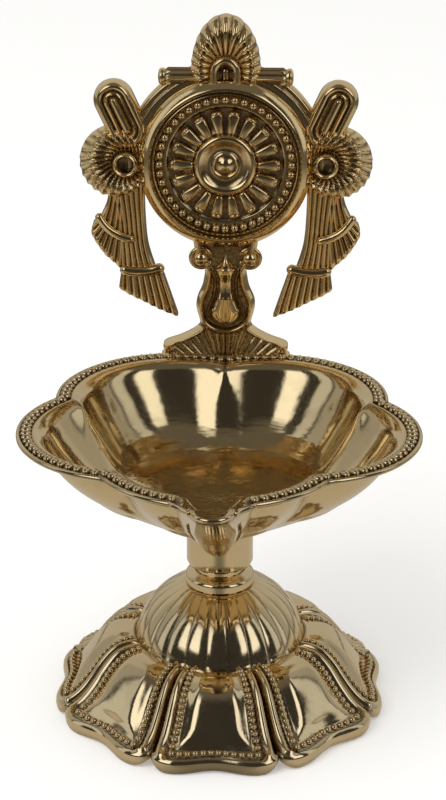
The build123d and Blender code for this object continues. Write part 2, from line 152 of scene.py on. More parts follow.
# Each opening: middle and half width round the room, foot and head above the floor, soft edge, in
# degrees, then its colour and strength
openings = (
    ("left_window", -40, 13, 20, 60, 6, "#F2F7FF", 1.50),
    ("right_window", 50, 10, 18, 54, 6, "#F2F7FF", 1.40),
    ("ceiling", 0, 200, 62, 100, 14, "#B4AFA6", 0.30),
    ("left_door", -84, 7, -5, 58, 5, "#DFE4E8", 0.86),
    ("left_wall", -114, 13, -5, 60, 6, "#D2D3D2", 0.62),
    ("right_door", 89, 6, -5, 56, 5, "#DFE4E8", 0.86),
    ("right_wall", 117, 13, -5, 60, 6, "#D2D3D2", 0.62),
    ("back_wall", 180, 50, -5, 58, 14, "#E6E5E0", 0.66),
)
shade = add_node(tree, "Emission", {"Color": linear("#62605E"), "Strength": 0.34})
for name, middle, half, foot, head, soft, colour, strength in openings:
    turned = add_node(tree, "Math", {0: azimuth, 1: radians(middle)}, operation="SUBTRACT")
    wrapped = add_node(tree, "Math", {0: turned, 1: pi, 2: -pi}, operation="WRAP")
    aside = add_node(tree, "Math", {0: wrapped}, operation="ABSOLUTE")
    edge = radians(soft)
    share = 1.0
    # The fades at its sides, its foot and its head
    for fade in (
        (aside, radians(half), radians(half) + edge, 1.0, 0.0),
        (elevation, radians(foot) - edge, radians(foot), 0.0, 1.0),
        (elevation, radians(head), radians(head) + edge, 1.0, 0.0),
    ):
        part = add_node(tree, "MapRange", dict(enumerate(fade)), interpolation_type="SMOOTHSTEP")
        share = add_node(tree, "Math", {0: share, 1: part}, operation="MULTIPLY")
    glow = add_node(tree, "Emission", {"Color": linear(colour), "Strength": strength}, label=name)
    shade = add_node(tree, "MixShader", {0: share, 1: shade, 2: glow})
tree.links.new(shade, surface)
room.data.materials.append(room_walls)

world = bpy.data.worlds.new("white_backdrop")
scene.world = world
world.use_nodes = True
tree = world.node_tree
tree.nodes.clear()
camera_rays = add_node(tree, "LightPath", pick="Is Camera Ray")
level = add_node(tree, "MapRange", {0: camera_rays, 3: 0.7, 4: 1.0})
sky = add_node(tree, "Background", {"Color": linear("#FFFFFF"), "Strength": level})
tree.links.new(sky, tree.nodes.new("ShaderNodeOutputWorld").inputs["Surface"])
lamp_data = bpy.data.lights.new("window_light", "AREA")
lamp_data.shape = "RECTANGLE"
lamp_data.size = 0.7
lamp_data.size_y = 0.7
lamp_data.energy = 5.0
lamp = bpy.data.objects.new("window_light", lamp_data)
scene.collection.objects.link(lamp)
lamp.location = (-0.55, -0.55, 0.95)
lamp.rotation_euler = (Vector(lamp.location) - camera_aim).to_track_quat("Z", "Y").to_euler()
lamp.visible_glossy = False

# Lotus foot
# A hollow brass casting: eight petals, each with a beaded border and a rolled lip, below a
# fluted dome. It is cast in sand, filed, and polished on a wheel, so its recesses stay brown.
MM = 0.001


def close_piece(smooth_angle):
    """Leaves edit mode with doubles merged, faces outwards and smooth shading."""
    bpy.ops.mesh.select_all(action="SELECT")
    bpy.ops.mesh.remove_doubles(threshold=0.00001)
    bpy.ops.mesh.normals_make_consistent(inside=False)
    bpy.ops.object.mode_set(mode="OBJECT")
    bpy.ops.object.shade_smooth_by_angle(angle=radians(smooth_angle))


def loft(name, rings, smooth_angle, closed=False):
    """A circle drawn out ring by ring, joined to itself or with its ends filled.
    A ring holds (x, y, z, tarnish) in millimetres."""
    bpy.ops.object.select_all(action="DESELECT")
    bpy.ops.mesh.primitive_circle_add(vertices=len(rings[0]), radius=MM, fill_type="NOTHING")
    piece = bpy.context.object
    piece.name = name
    bpy.ops.object.mode_set(mode="EDIT")
    work = bmesh.from_edit_mesh(piece.data)
    work.verts.ensure_lookup_table()
    column = work.verts.layers.int.new("column")
    work.verts.layers.float.new("tarnish")
    for number, vert in enumerate(work.verts):
        vert[column] = number
    last = rings[:1] if closed else []
    for number, ring in enumerate(rings + last):
        if number:
            bpy.ops.mesh.extrude_edges_move()
        work = bmesh.from_edit_mesh(piece.data)
        column = work.verts.layers.int["column"]
        tarnish = work.verts.layers.float["tarnish"]
        for vert in work.verts:
            if vert.select:
                x, y, z, brown = ring[vert[column]]
                vert.co = (x * MM, y * MM, z * MM)
                vert[tarnish] = brown
        bmesh.update_edit_mesh(piece.data)
    if not closed:
        bpy.ops.mesh.select_all(action="DESELECT")
        bpy.ops.mesh.select_non_manifold()
        bpy.ops.mesh.edge_face_add()
    close_piece(smooth_angle)
    return piece


def round_ring(radius, height, columns, brown=0.0):
    return [(radius * sin(a), -radius * cos(a), height, brown) for a in columns]


def strew(piece, pattern, places):
    """Copies of a small shape, each with its own mesh, joined to the piece."""
    bpy.ops.object.select_all(action="DESELECT")
    for matrix in places:
        copy = pattern.copy()
        copy.data = pattern.data.copy()
        copy.data.transform(matrix)
        scene.collection.objects.link(copy)
        copy.select_set(True)
    bpy.data.objects.remove(pattern)
    piece.select_set(True)
    bpy.context.view_layer.objects.active = piece
    bpy.ops.object.join()


def bead_pattern(brown=0.0):
    """A ball of 1 mm radius with a few dozen faces, browner towards its underside."""
    bpy.ops.object.select_all(action="DESELECT")
    bpy.ops.mesh.primitive_uv_sphere_add(segments=10, ring_count=6, radius=MM)
    bead = bpy.context.object
    bpy.ops.object.shade_smooth()
    tarnish = bead.data.attributes.new("tarnish", "FLOAT", "POINT")
    for vert, value in zip(bead.data.vertices, tarnish.data):
        value.value = brown + (1 - brown) * min(1.0, max(0.0, 0.35 - vert.co.z / MM))
    return bead


def stand(point, normal, along, size):
    """Where a shape stands: its z on the normal, its x along the row, its three sizes."""
    up = Vector(normal).normalized()
    side = Vector(along) - Vector(along).dot(up) * up
    side.normalize()
    turn = Matrix((side, up.cross(side), up)).transposed().to_4x4()
    return Matrix.Translation(Vector(point) * MM) @ turn @ Matrix.Diagonal((*size, 1))


def step_up(low, high, value):
    """0 below low, 1 above high, smooth between."""
    share = min(1.0, max(0.0, (value - low) / (high - low)))
    return share * share * (3 - 2 * share)


def hump(middle, half, value):
    """1 at the middle, falling smoothly to 0 at half a width away."""
    away = abs(value - middle) / half
    return 0.5 + 0.5 * cos(pi * away) if away < 1 else 0.0


petal_count = 8
petal_half = 180 / petal_count
petal_reach = 36.3
petal_corner_angle = 15.5
petal_corner = 2.2
lip_wave = 0.45
skirt_handles = ((35.4, 3.8), (30.6, 4.6), (29.4, 16.8), (20.0, 16.4))
notch_rise = 2.2
lip_corner = (4.0, 2.2)
frame_corner = 5.0
ridge_line = 1.6
ridge_height = 0.75
groove_line = 3.2
groove_depth = 0.4
seat_depth = 0.18
valley_depth = 1.5
bead_line = 4.2
panel_line = 5.4
panel_bulge = 0.9
dome_base = (19.3, 16.3)
dome_top = (8.4, 28.8)
dome_bulge = 2.1
flute_angle = 15
flute_height = 0.42


def skirt_at(share):
    """Radius and height of the petals' outer curve, and its normal."""
    a, b, c, d = [Vector(handle) for handle in skirt_handles]
    rest = 1 - share
    point = rest**3 * a + 3 * rest**2 * share * b + 3 * rest * share**2 * c + share**3 * d
    tangent = rest**2 * (b - a) + 2 * rest * share * (c - b) + share**2 * (d - c)
    tangent.normalize()
    return point, Vector((tangent.y, -tangent.x))


skirt_steps = 400
skirt_lengths = [0.0]
for number in range(skirt_steps):
    run = skirt_at((number + 1) / skirt_steps)[0] - skirt_at(number / skirt_steps)[0]
    skirt_lengths.append(skirt_lengths[-1] + run.length)
skirt_length = skirt_lengths[-1]


def share_at(length):
    """Share along the curve for a length from the lip."""
    number = 0
    while number < skirt_steps - 1 and skirt_lengths[number + 1] < length:
        number += 1
    span = skirt_lengths[number + 1] - skirt_lengths[number]
    return (number + min(1.0, max(0.0, (length - skirt_lengths[number]) / span))) / skirt_steps


def border_scale(radius):
    """The border narrows towards the dome."""
    return (1.0 + 0.097 * radius) / 4.5


def corner_reach(angle):
    """How far the lower edge stands out: most at a petal's corners, cut back between two petals."""
    width, depth = lip_corner
    side = radians(petal_half - abs(angle)) * petal_reach
    notch = depth * (1 - sqrt(1 - max(0.0, 1 - side / width) ** 2))
    return petal_corner * step_up(0.0, petal_corner_angle, abs(angle)) - notch


def petal_at(angle, length):
    """Radius, height and tarnish on the petal, at an angle from its middle and a length above the lip."""
    point, normal = skirt_at(share_at(length))
    radius = point.x
    side = radians(petal_half - abs(angle)) * radius / border_scale(radius)
    above = length + groove_line - 0.1
    if side < frame_corner and above < frame_corner:
        inwards = frame_corner - hypot(frame_corner - side, frame_corner - above)
    else:
        inwards = min(side, above)
    top = step_up(skirt_length, skirt_length - 5, length)
    strength = 0.55 + 0.45 * top
    ridge = ridge_height * hump(ridge_line, ridge_line, inwards)
    groove = groove_depth * hump(groove_line, 0.7, inwards)
    past_groove = step_up(groove_line, groove_line + 0.2, inwards)
    seat = seat_depth * past_groove * step_up(panel_line, panel_line - 0.5, inwards)
    valley = valley_depth * max(0.0, 1 - side / 0.9) ** 1.2
    panel = panel_bulge * step_up(panel_line - 0.4, panel_line + 3.5, inwards) * (0.3 + 0.7 * top)
    height = strength * (ridge - groove - seat - valley) + panel
    spread = corner_reach(angle) * max(0.0, 1 - length / 9) ** 1.5
    valley_brown = 0.9 * max(0.0, 1 - side / 1.0)
    brown = max(valley_brown, hump(groove_line, 0.9, inwards), 0.75 * hump(bead_line, 1.1, inwards))
    return radius + spread + height * normal.x, point.y + height * normal.y, brown


def lip_at(angle, reach, height):
    """Radius and height on the rolled lip below the petal; reach is from the petal's end."""
    side = radians(petal_half - abs(angle)) * petal_reach
    lift = notch_rise * max(0.0, 1 - side / 4.0) ** 1.8 + lip_wave * hump(0.0, petal_corner_angle, angle)
    brown = max(0.9 * max(0.0, 1 - side / 1.5), 0.5 * step_up(1.9, 0.6, height))
    return petal_reach + reach + corner_reach(angle), height + lift * (1 - height / 4.1), brown


def dome_at(angle, share):
    """Radius, height and tarnish on the fluted dome, from its base up."""
    base, top = Vector(dome_base), Vector(dome_top)
    chord = top - base
    outwards = Vector((chord.y, -chord.x)).normalized()
    point = base + chord * share + outwards * dome_bulge * 4 * share * (1 - share)
    across = ((angle / flute_angle + 0.5) % 1.0) * 2 - 1
    rise = sqrt(1 - (0.85 * across) ** 2) - 0.75
    fade = 0.25 + 0.75 * step_up(1.0, 0.6, share)
    height = flute_height * rise * fade
    brown = 0.8 * max(0.0, abs(across) - 0.82) / 0.18 * fade
    return point.x + height * outwards.x, point.y + height * outwards.y, brown


half_angles = [1.25 * n for n in range(10)] + [12.5 + 0.5 * n for n in range(20)]
petal_angles = [-a for a in reversed(half_angles[1:])] + half_angles + [petal_half]
foot_columns = [(sector * 2 * petal_half, a) for sector in range(petal_count) for a in petal_angles]


def foot_ring(rule, *values):
    """Ring of the foot from a rule for one petal, repeated for all of them."""
    ring = []
    for sector, angle in foot_columns:
        radius, height, brown = rule(angle, *values)
        turn = radians(sector + angle)
        ring.append((radius * sin(turn), -radius * cos(turn), height, brown))
    return ring


foot_turns = [radians(sector + angle) for sector, angle in foot_columns]
# The rolled lip, from under it round to the petal: reach past the petal's end, and height
lip_profile = (
    (-2.2, 0.0), (-0.85, 0.0), (-0.35, 0.25), (-0.05, 0.9), (0.1, 1.8), (0.0, 2.7), (-0.3, 3.35), (-0.8, 3.7),
)
foot_rings = [foot_ring(lip_at, *spot) for spot in lip_profile]
skirt_stops = [0.3 * n for n in range(1, 16)] + [4.5 + 0.85 * n for n in range(1, 50)]
skirt_stops = [stop for stop in skirt_stops if stop < skirt_length - 0.4] + [skirt_length]
foot_rings += [foot_ring(petal_at, stop) for stop in skirt_stops]
dome_seam = (19.5, 16.1)
foot_rings.append(round_ring(*dome_seam, foot_turns, 0.9))
dome_stops = 18
foot_rings += [foot_ring(dome_at, n / dome_stops) for n in range(dome_stops + 1)]
# The hollow: hole for the stud, the roof that the washer bears on, the inside of dome and petals
hollow = (
    (3.4, 28.8), (3.4, 25.8), (7.6, 25.8), (10.5, 24.6), (13.4, 21.8), (15.2, 18.0), (16.4, 14.2),
    (20.0, 13.9), (24.5, 12.6), (27.6, 9.6), (30.2, 5.6), (31.4, 3.2), (32.2, 0.0),
)
foot_rings += [round_ring(radius, height, foot_turns, 0.7) for radius, height in hollow]
lotus_foot = loft("lotus_foot_casting", foot_rings, 50, closed=True)


def petal_spot(sector, angle, length):
    radius, height, _ = petal_at(angle, length)
    turn = radians(sector + angle)
    return Vector((radius * sin(turn), -radius * cos(turn), height))


def petal_normal(sector, angle, length):
    normal = skirt_at(share_at(length))[1]
    turn = radians(sector + angle)
    return Vector((normal.x * sin(turn), -normal.x * cos(turn), normal.y))


bottom_beads = 12
side_beads = 14
bead_size = 0.78
bead_lift = 0.12
bead_places = []
for number in range(petal_count):
    sector = number * 2 * petal_half
    spots = []
    low = bead_line - groove_line + 0.1
    edge = petal_half - degrees(bead_line * border_scale(petal_reach - 1) / (petal_reach - 1.2))
    for count in range(bottom_beads):
        spots.append(((2 * count / (bottom_beads - 1) - 1) * (edge - 0.6), low, 1.0))
    for count in range(side_beads):
        length = low + 1.35 + (skirt_length - low - 2.2) * count / (side_beads - 1)
        radius = skirt_at(share_at(length))[0].x
        angle = petal_half - degrees(bead_line * border_scale(radius) / radius)
        size = 0.72 + 0.28 * border_scale(radius)
        spots += [(angle, length, size), (-angle, length, size)]
    for angle, length, size in spots:
        normal = petal_normal(sector, angle, length)
        point = petal_spot(sector, angle, length) + bead_lift * normal
        side = Vector((cos(radians(sector + angle)), sin(radians(sector + angle)), 0))
        bead_places.append(stand(point, normal, side, [bead_size * size] * 3))
strew(lotus_foot, bead_pattern(), bead_places)


def cast_brass(name, bright, brown, wobble_mm, tarnish_share, brush_mm=0.0):
    """Polished cast brass: a warm mirror, slightly wavy, with brown left in the recesses."""
    material, tree, surface = new_material(name)
    place = add_node(tree, "TexCoord", pick="Object")
    # Slow waves of the hand-held polish, 7 mm long; pits and wipe marks of 0.8 mm, coarser than the
    # real ones so that they show; and cloudy tarnish of 12 mm
    waves, pits, cloud = [
        add_node(tree, "TexNoise", {"Vector": place, "Scale": 1000 / mm, "Detail": fine, "Roughness": rough})
        for mm, fine, rough in ((7, 2.0, 0.5), (0.8, 4.0, 0.65), (12, 5.0, 0.6))
    ]
    recess = add_node(tree, "Attribute", pick="Fac", attribute_name="tarnish")
    speckle = add_node(tree, "MapRange", {0: pits, 1: 0.35, 2: 0.65, 3: 0.55, 4: 1.0})
    deep = add_node(tree, "Math", {0: recess, 1: speckle}, operation="MULTIPLY")
    haze = add_node(tree, "MapRange", {0: cloud, 1: 0.5, 2: 0.8, 3: 0.0, 4: tarnish_share})
    stain = add_node(tree, "Math", {0: deep, 1: haze}, operation="ADD", use_clamp=True)
    colour = add_node(tree, "Mix", {0: stain, 6: linear(bright), 7: linear(brown)}, 2, data_type="RGBA")
    gloss = add_node(tree, "MapRange", {0: pits, 1: 0.3, 2: 0.75, 3: 0.05, 4: 0.15})
    matt = add_node(tree, "Math", {0: stain, 1: 0.28, 2: gloss}, operation="MULTIPLY_ADD")
    swell = add_node(tree, "Bump", {"Height": waves, "Distance": wobble_mm * MM, "Strength": 1.0})
    pitted = {"Height": pits, "Distance": 0.008 * MM, "Strength": 1.0, "Normal": swell}
    grain = add_node(tree, "Bump", pitted)
    if brush_mm:
        # Brush marks round the axis, 3.5 mm apart, coarser than the real ones, where the bowl's
        # inside faces up, and strongest on its floor
        parts = add_node(tree, "SeparateXYZ", {0: place}, None)
        flat = add_node(tree, "CombineXYZ", {0: parts["X"], 1: parts["Y"]})
        radius = add_node(tree, "VectorMath", {0: flat}, "Value", operation="LENGTH")
        turn = add_node(tree, "Math", {0: parts["Y"], 1: parts["X"]}, operation="ARCTAN2")
        outwards, round_axis, up = [
            add_node(tree, "Math", {0: way, 1: scale}, operation="MULTIPLY")
            for way, scale in ((radius, 1000 / 3.5), (turn, 2.5), (parts["Z"], 1000 / 2.0))
        ]
        spot = add_node(tree, "CombineXYZ", {0: outwards, 1: round_axis, 2: up})
        marks = add_node(tree, "TexNoise", {"Vector": spot, "Scale": 1.0, "Detail": 2.0, "Roughness": 0.5})
        low = add_node(tree, "MapRange", {0: parts["Z"], 1: 0.0515, 2: 0.060, 3: 1.0, 4: 0.12})
        face = add_node(tree, "NewGeometry", pick="Normal")
        facing = add_node(tree, "SeparateXYZ", {0: face}, "Z")
        upper = add_node(tree, "MapRange", {0: facing, 1: 0.1, 2: 0.4})
        share = add_node(tree, "Math", {0: low, 1: upper}, operation="MULTIPLY")
        brushed = {"Height": marks, "Distance": brush_mm * MM, "Strength": share, "Normal": grain}
        grain = add_node(tree, "Bump", brushed)
    metal = {"Base Color": colour, "Metallic": 1.0, "Roughness": matt, "Normal": grain}
    tree.links.new(add_node(tree, "BsdfPrincipled", metal), surface)
    return material


polished_brass = cast_brass("polished_cast_brass", "#E2CBA0", "#67543E", wobble_mm=0.10, tarnish_share=0.20)
lotus_foot.data.materials.clear()
lotus_foot.data.materials.append(polished_brass)
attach(lotus_foot, "foot")
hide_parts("lotus_foot")

# Foot collar
# A small turned brass ring that sits on the dome and takes the neck of the stem. It is turned
# from bar on a lathe, with a rounded edge and a sloping top, and held by the stud through it.
turned_columns = [2 * pi * n / 96 for n in range(96)]


def turned_piece(name, profile):
    """A ring of radius and height pairs turned round the lamp's axis, joined to itself."""
    return loft(name, [round_ring(r, z, turned_columns) for r, z in profile], 35, closed=True)


collar_profile = (
    (3.5, 28.8), (7.2, 28.8), (7.65, 28.95), (7.9, 29.3), (7.9, 30.6), (7.75, 31.05), (7.35, 31.4),
    (6.6, 31.75), (5.95, 32.3), (5.8, 32.3), (5.75, 30.0), (3.5, 30.0),
)
foot_collar = turned_piece("foot_collar_turning", collar_profile)
foot_collar.data.materials.append(polished_brass)
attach(foot_collar, "foot")
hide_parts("foot_collar")

# Stem
# A short turned brass sleeve between collar and bowl, with a thinner neck below that stands
# in the collar. The stud runs through it.
stem_profile = (
    (3.35, 30.05), (5.55, 30.05), (5.7, 30.2), (5.7, 33.3), (5.95, 33.6), (6.5, 33.6), (7.15, 33.85),
    (7.5, 34.6), (7.5, 43.7), (7.4, 44.3), (7.0, 44.9), (5.2, 44.9), (5.2, 37.4), (3.35, 37.4),
)
stem = turned_piece("stem_sleeve", stem_profile)
stem.data.materials.append(polished_brass)
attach(stem, "lamp")
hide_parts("stem")

# Bowl
# A brass casting with five lobes, a flat beaded rim, a spout in front and a keel below it that
# runs down to the stem. The inside is brushed round by hand; a flat ledge behind takes the plate.
lobe_count = 5
lobe_step = 360 / lobe_count
lobe_offset = 18.15
rim_radius = 27.2
rim_width = 5.6
rim_top = 68.8
flange_bottom = 66.4
body_radius = 21.1
body_bottom = 44.6
bowl_power = 2 / 1.68
bowl_end = 80
spout_reach = 50.5
spout_half = 8.6
spout_lip = 3.2
spout_dip = 0.6
spout_lip_top = 68.45
edge_inset = 0.8
boss_radius = 6.9
boss_end = (4.0, 44.2)
nose_share = 0.38
nose_rise = 1.3
chin_share = 0.60
chin_rise = 2.3
keel_low = (39.2, 8.2, 1.6)


def blend_max(first, second, soft):
    """The larger of two, with a rounded corner where they meet."""
    away = max(soft - abs(first - second), 0.0) / soft
    return max(first, second) + away * away * soft / 4


def lobed(radius, angle, soft=0.6):
    """Reach of the five-lobed outline at an angle from the front; softness fills its creases."""
    turn = abs((angle + lobe_step / 2) % lobe_step - lobe_step / 2)
    near, other = [
        lobe_offset * cos(radians(t)) + sqrt(radius**2 - (lobe_offset * sin(radians(t))) ** 2)
        for t in (turn, lobe_step - turn)
    ]
    return blend_max(near, other, soft)


def spout_at(angle, reach, half_width, root, chin=0.0):
    """Reach of a V with a rounded nose, at an angle from the front; 0 behind its root.
    The chin, from 0 to 1, makes it fuller."""
    turn = radians(abs(angle))
    if turn > atan2(half_width, max(root, 0.1)):
        return 0.0
    rise = (nose_rise + chin * (chin_rise - nose_rise)) * half_width / spout_half
    nose = Vector(((nose_share + chin * (chin_share - nose_share)) * half_width, reach - rise))
    side = Vector((half_width, root)) - nose
    face = Vector((-side.y, side.x))
    line = face.dot(nose) / (face.x * sin(turn) + face.y * cos(turn))
    bend = (nose.x**2 + rise**2) / (2 * rise)
    middle = reach - bend
    inside = bend**2 - (middle * sin(turn)) ** 2
    arc = middle * cos(turn) + sqrt(inside) if inside > 0 else line
    return max(0.0, min(line, arc))


bowl_half = [0.5 * n for n in range(29)] + [14 + 1.1 * n for n in range(1, 20)]
bowl_half += [36 + 1.2 * n for n in range(60)] + [108 + 1.2 * n for n in range(60)]
bowl_angles = [-a for a in reversed(bowl_half[1:])] + bowl_half + [180]


def bowl_ring(rule):
    """Ring of the bowl from a rule that gives reach, height and tarnish at an angle."""
    ring = []
    for angle in bowl_angles:
        reach, height, brown = rule(angle)
        turn = radians(angle)
        ring.append((reach * sin(turn), -reach * cos(turn), height, brown))
    return ring


def cusp_brown(angle, width):
    """How close an angle is to the crease between two lobes."""
    away = lobe_step / 2 - abs((angle + lobe_step / 2) % lobe_step - lobe_step / 2)
    return max(0.0, 1 - away / width)


def body_drop(height):
    """Share of its top reach that the outside keeps at a height."""
    depth = (flange_bottom - body_bottom) / sin(radians(bowl_end)) ** bowl_power
    drop = min(1.0, max(0.0, (flange_bottom - height) / depth))
    return (1 - drop ** (2 / bowl_power)) ** (bowl_power / 2)


def keel_reach(angle, height):
    """Reach of the keel below the spout, at an angle and a height."""
    share = (height - keel_low[0]) / (flange_bottom - keel_low[0])
    half_width = keel_low[2] + share**0.74 * (spout_half - 0.3 - keel_low[2])
    reach = keel_low[1] + share**0.82 * (spout_reach - 0.9 - keel_low[1])
    front = max(7.4, body_drop(height) * (lobe_offset + sqrt(body_radius**2 - half_width**2)) - 0.4)
    return spout_at(angle, reach, half_width, min(front, reach - 3.0), min(1.0, 3 * (1 - share)))


def outside_at(level):
    """Ring on the outside of the bowl, from level 0 at the flange to 1 at the stem."""
    turn = radians(bowl_end * level)
    depth = (flange_bottom - body_bottom) / sin(radians(bowl_end)) ** bowl_power
    height = flange_bottom - depth * sin(turn) ** bowl_power
    shrink = cos(turn) ** bowl_power
    crease = step_up(0.75, 0.15, level)

    def rule(angle):
        lobe = lobed(body_radius, angle, 0.6 + 11 * (1 - crease))
        circle = 0.96 * (lobe_offset + body_radius)
        reach = shrink * (lobe + (circle - lobe) * step_up(0.35, 1.0, level))
        keel = keel_reach(angle, height)
        root = hump(0.0, 0.8, keel - max(boss_radius, reach))
        brown = max(0.55 * crease * cusp_brown(angle, 1.6), 0.8 * step_up(0.10, 0.0, level), 0.35 * root)
        return blend_max(max(boss_radius, reach), keel, 0.5), height, brown

    return bowl_ring(rule)


def under_stem(height):
    """Ring below the body, where the keel runs down in front of the stem."""
    return bowl_ring(lambda angle: (blend_max(7.3, keel_reach(angle, height), 0.3), height, 0.1))


def rim_at(radius, height, brown=0.0):
    """Ring on the rim: lobes of that radius, and the spout drawn in by as much, dipping to its nose."""
    inset = rim_radius - radius

    def rule(angle):
        inwards = inset
        if inset >= edge_inset:
            past = (inset - edge_inset) * (spout_lip - edge_inset) / (rim_width - edge_inset)
            inwards = edge_inset + past
        reach = spout_reach - inwards
        half_width = spout_half - 0.7 * inwards
        spout = spout_at(angle, reach, half_width, lobe_offset + sqrt(radius**2 - half_width**2) - 0.3)
        lobe = lobed(radius, angle)
        lip = step_up(0.0, 1.5, spout - lobe)
        plain = min(spout_lip_top, height + 0.5) if inset > edge_inset else height
        dip = spout_dip * min(1.0, max(0.0, spout - lobe) / 5)
        shape = height + (plain - height) * lip - dip
        return blend_max(lobe, spout, 2.2), shape, max(brown * (1 - lip), 0.7 * cusp_brown(angle, 1.5))

    return bowl_ring(rule)


# The inside, from the rim's slope down a steep wall to a shallow floor: reach of a lobe, height, and
# how far the creases between the lobes are filled
inside_steps = (
    (39.2, 66.95, 0.8), (38.75, 66.4, 1.0), (38.3, 65.6, 1.4), (37.7, 64.6, 2.0), (36.9, 63.3, 3.0),
    (35.8, 61.7, 4.2), (34.5, 60.0, 4.8), (33.2, 58.2, 5.2), (31.8, 56.4, 5.5), (30.3, 54.7, 5.8),
    (28.9, 53.3, 6.0), (27.7, 52.35, 6.2), (26.8, 51.85, 6.5), (25.8, 51.5, 7.0), (24.4, 51.2, 8.0),
    (22.0, 50.8, 10.0), (19.0, 50.4, 13.0), (16.0, 50.0, 15.0), (13.0, 49.7, 15.0), (10.0, 49.45, 15.0),
    (7.0, 49.3, 15.0), (4.0, 49.2, 15.0), (1.5, 49.15, 15.0),
)
inside_radius = 21.0
trough_low = (52.5, 25.0, 2.2)


def inside_at(lobe_reach, height, soft):
    """Ring on the inside, with the trough that runs out into the spout."""
    share = (height - trough_low[0]) / (rim_top - trough_low[0])

    def rule(angle):
        reach = lobe_reach / (lobe_offset + inside_radius) * lobed(inside_radius, angle, soft)
        if share > 0:
            half_width = trough_low[2] + share * (spout_half - 0.75 * spout_lip - trough_low[2])
            spout_far = trough_low[1] + share * (spout_reach - spout_lip - trough_low[1])
            dip = spout_dip * min(1.0, max(0.0, spout_far - reach) / 5) * share
            root = max(0.0, min(reach - 0.3, spout_far - 1.6))
            trough = spout_at(angle, spout_far, half_width, root)
            deep = step_up(0.0, 2.0, trough - reach)
            return blend_max(reach, trough, 0.9), height - dip * deep, 0.7 * deep
        return reach, height, 0.0

    return bowl_ring(rule)


bowl_rings = [bowl_ring(lambda angle: (*boss_end, 0.0))]
bowl_rings += [under_stem(keel_low[0] + 1.2 * n) for n in range(4)]
outer_levels = 28
bowl_rings += [outside_at(1 - n / outer_levels) for n in range(1, outer_levels)]
bowl_rings.append(outside_at(0.004))
# Lobe radius, height and brown, from below the flange round its thin edge to the slope inside the beads
rim_steps = (
    (21.4, 66.35, 1.0), (22.5, 66.4, 0.9), (24.5, 66.75, 0.4), (26.3, 67.15, 0.1), (26.9, 67.35, 0.0),
    (27.2, 67.7, 0.0), (27.2, 68.1, 0.0), (27.05, 68.4, 0.0), (26.8, 68.55, 0.0), (26.5, 68.5, 0.4),
    (26.3, 68.25, 0.9), (25.9, 68.1, 1.0), (25.0, 68.05, 1.0), (24.1, 68.1, 1.0), (23.8, 68.3, 0.8),
    (23.55, 68.45, 0.2), (23.1, 68.4, 0.0), (22.5, 68.1, 0.0), (21.9, 67.75, 0.0), (21.5, 67.4, 0.0),
)
bowl_rings += [rim_at(*step) for step in rim_steps]
bowl_rings += [inside_at(*step) for step in inside_steps]
bowl = loft("bowl_casting", bowl_rings, 38)

# Beads round the rim, slightly oval and slanted like a rope, left off at the spout
rim_bead_line = 25.0
rim_bead_height = 68.42
rim_bead_pitch = 2.1
rim_bead_size = (0.85, 1.3, 0.85)
rim_bead_slant = radians(14)
half_step = radians(lobe_step / 2)
end = lobed(rim_bead_line, lobe_step / 2)
corner = Vector((end * sin(half_step), end * cos(half_step) - lobe_offset))
half_turn = atan2(corner.x, corner.y)
count = int(2 * half_turn * rim_bead_line / rim_bead_pitch)
bead_places = []
for number in range(lobe_count):
    lobe_turn = radians(number * lobe_step)
    for spot in range(count):
        turn = half_turn * (2 * (spot + 0.5) / count - 1)
        x = rim_bead_line * sin(turn)
        y = lobe_offset + rim_bead_line * cos(turn)
        if number == 0 and abs(x) < spout_half - 0.6:
            continue
        way = lobe_turn + turn
        turned = (x * cos(lobe_turn) + y * sin(lobe_turn), x * sin(lobe_turn) - y * cos(lobe_turn))
        point = (*turned, rim_bead_height)
        along = (cos(way + rim_bead_slant), sin(way + rim_bead_slant), 0)
        bead_places.append(stand(point, (0, 0, 1), along, rim_bead_size))
strew(bowl, bead_pattern(), bead_places)

# Ledge behind the rim
ledge_half = 15.4
ledge_front = 39.2
ledge_back = 43.8
bpy.ops.object.select_all(action="DESELECT")
bpy.ops.mesh.primitive_cube_add(size=MM)
ledge = bpy.context.object
ledge.data.transform(
    Matrix.Translation((0, 0.5 * (ledge_front + ledge_back) * MM, 0.5 * (flange_bottom + rim_top) * MM))
    @ Matrix.Diagonal((2 * ledge_half, ledge_back - ledge_front, rim_top - flange_bottom - 0.1, 1))
)
bpy.ops.object.mode_set(mode="EDIT")
bpy.ops.mesh.bevel(offset=0.6 * MM, segments=3)
bpy.ops.object.mode_set(mode="OBJECT")
bpy.ops.object.shade_smooth_by_angle(angle=radians(30))
bowl.select_set(True)
bpy.context.view_layer.objects.active = bowl
bpy.ops.object.join()
bowl.data.materials.clear()
brushed_brass = cast_brass(
    "brushed_cast_brass", "#E0C89A", "#67543E", wobble_mm=0.10, tarnish_share=0.20, brush_mm=0.16
)
bowl.data.materials.append(brushed_brass)
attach(bowl, "lamp")
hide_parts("bowl")

# Wheel of the plate
# The plate is one brass casting with a flat back: a deep wheel with beads and spokes, set on a
# larger backing. It is left browner than the bowl in its recesses. The foot is screwed to the rim.
plate_back = 43.2
back_brown = 0.3
wheel_middle = 47.3
wheel_columns = [2 * pi * n / 160 for n in range(160)]


def plate_point(x, height, depth):
    """A point of the plate from its place on the face and its depth in front of the back."""
    return x, plate_back - depth, rim_top + height


def disc_ring(radius, depth, brown, x=0.0, height=wheel_middle, columns=wheel_columns):
    """A circle on the face of the plate, about the wheel's middle or another."""
    return [(*plate_point(x + radius * sin(a), height + radius * cos(a), depth), brown) for a in columns]


def join_pieces(pieces, name):
    bpy.ops.object.select_all(action="DESELECT")
    for piece in pieces:
        piece.select_set(True)
    bpy.context.view_layer.objects.active = pieces[0]
    bpy.ops.object.join()
    pieces[0].name = name
    return pieces[0]


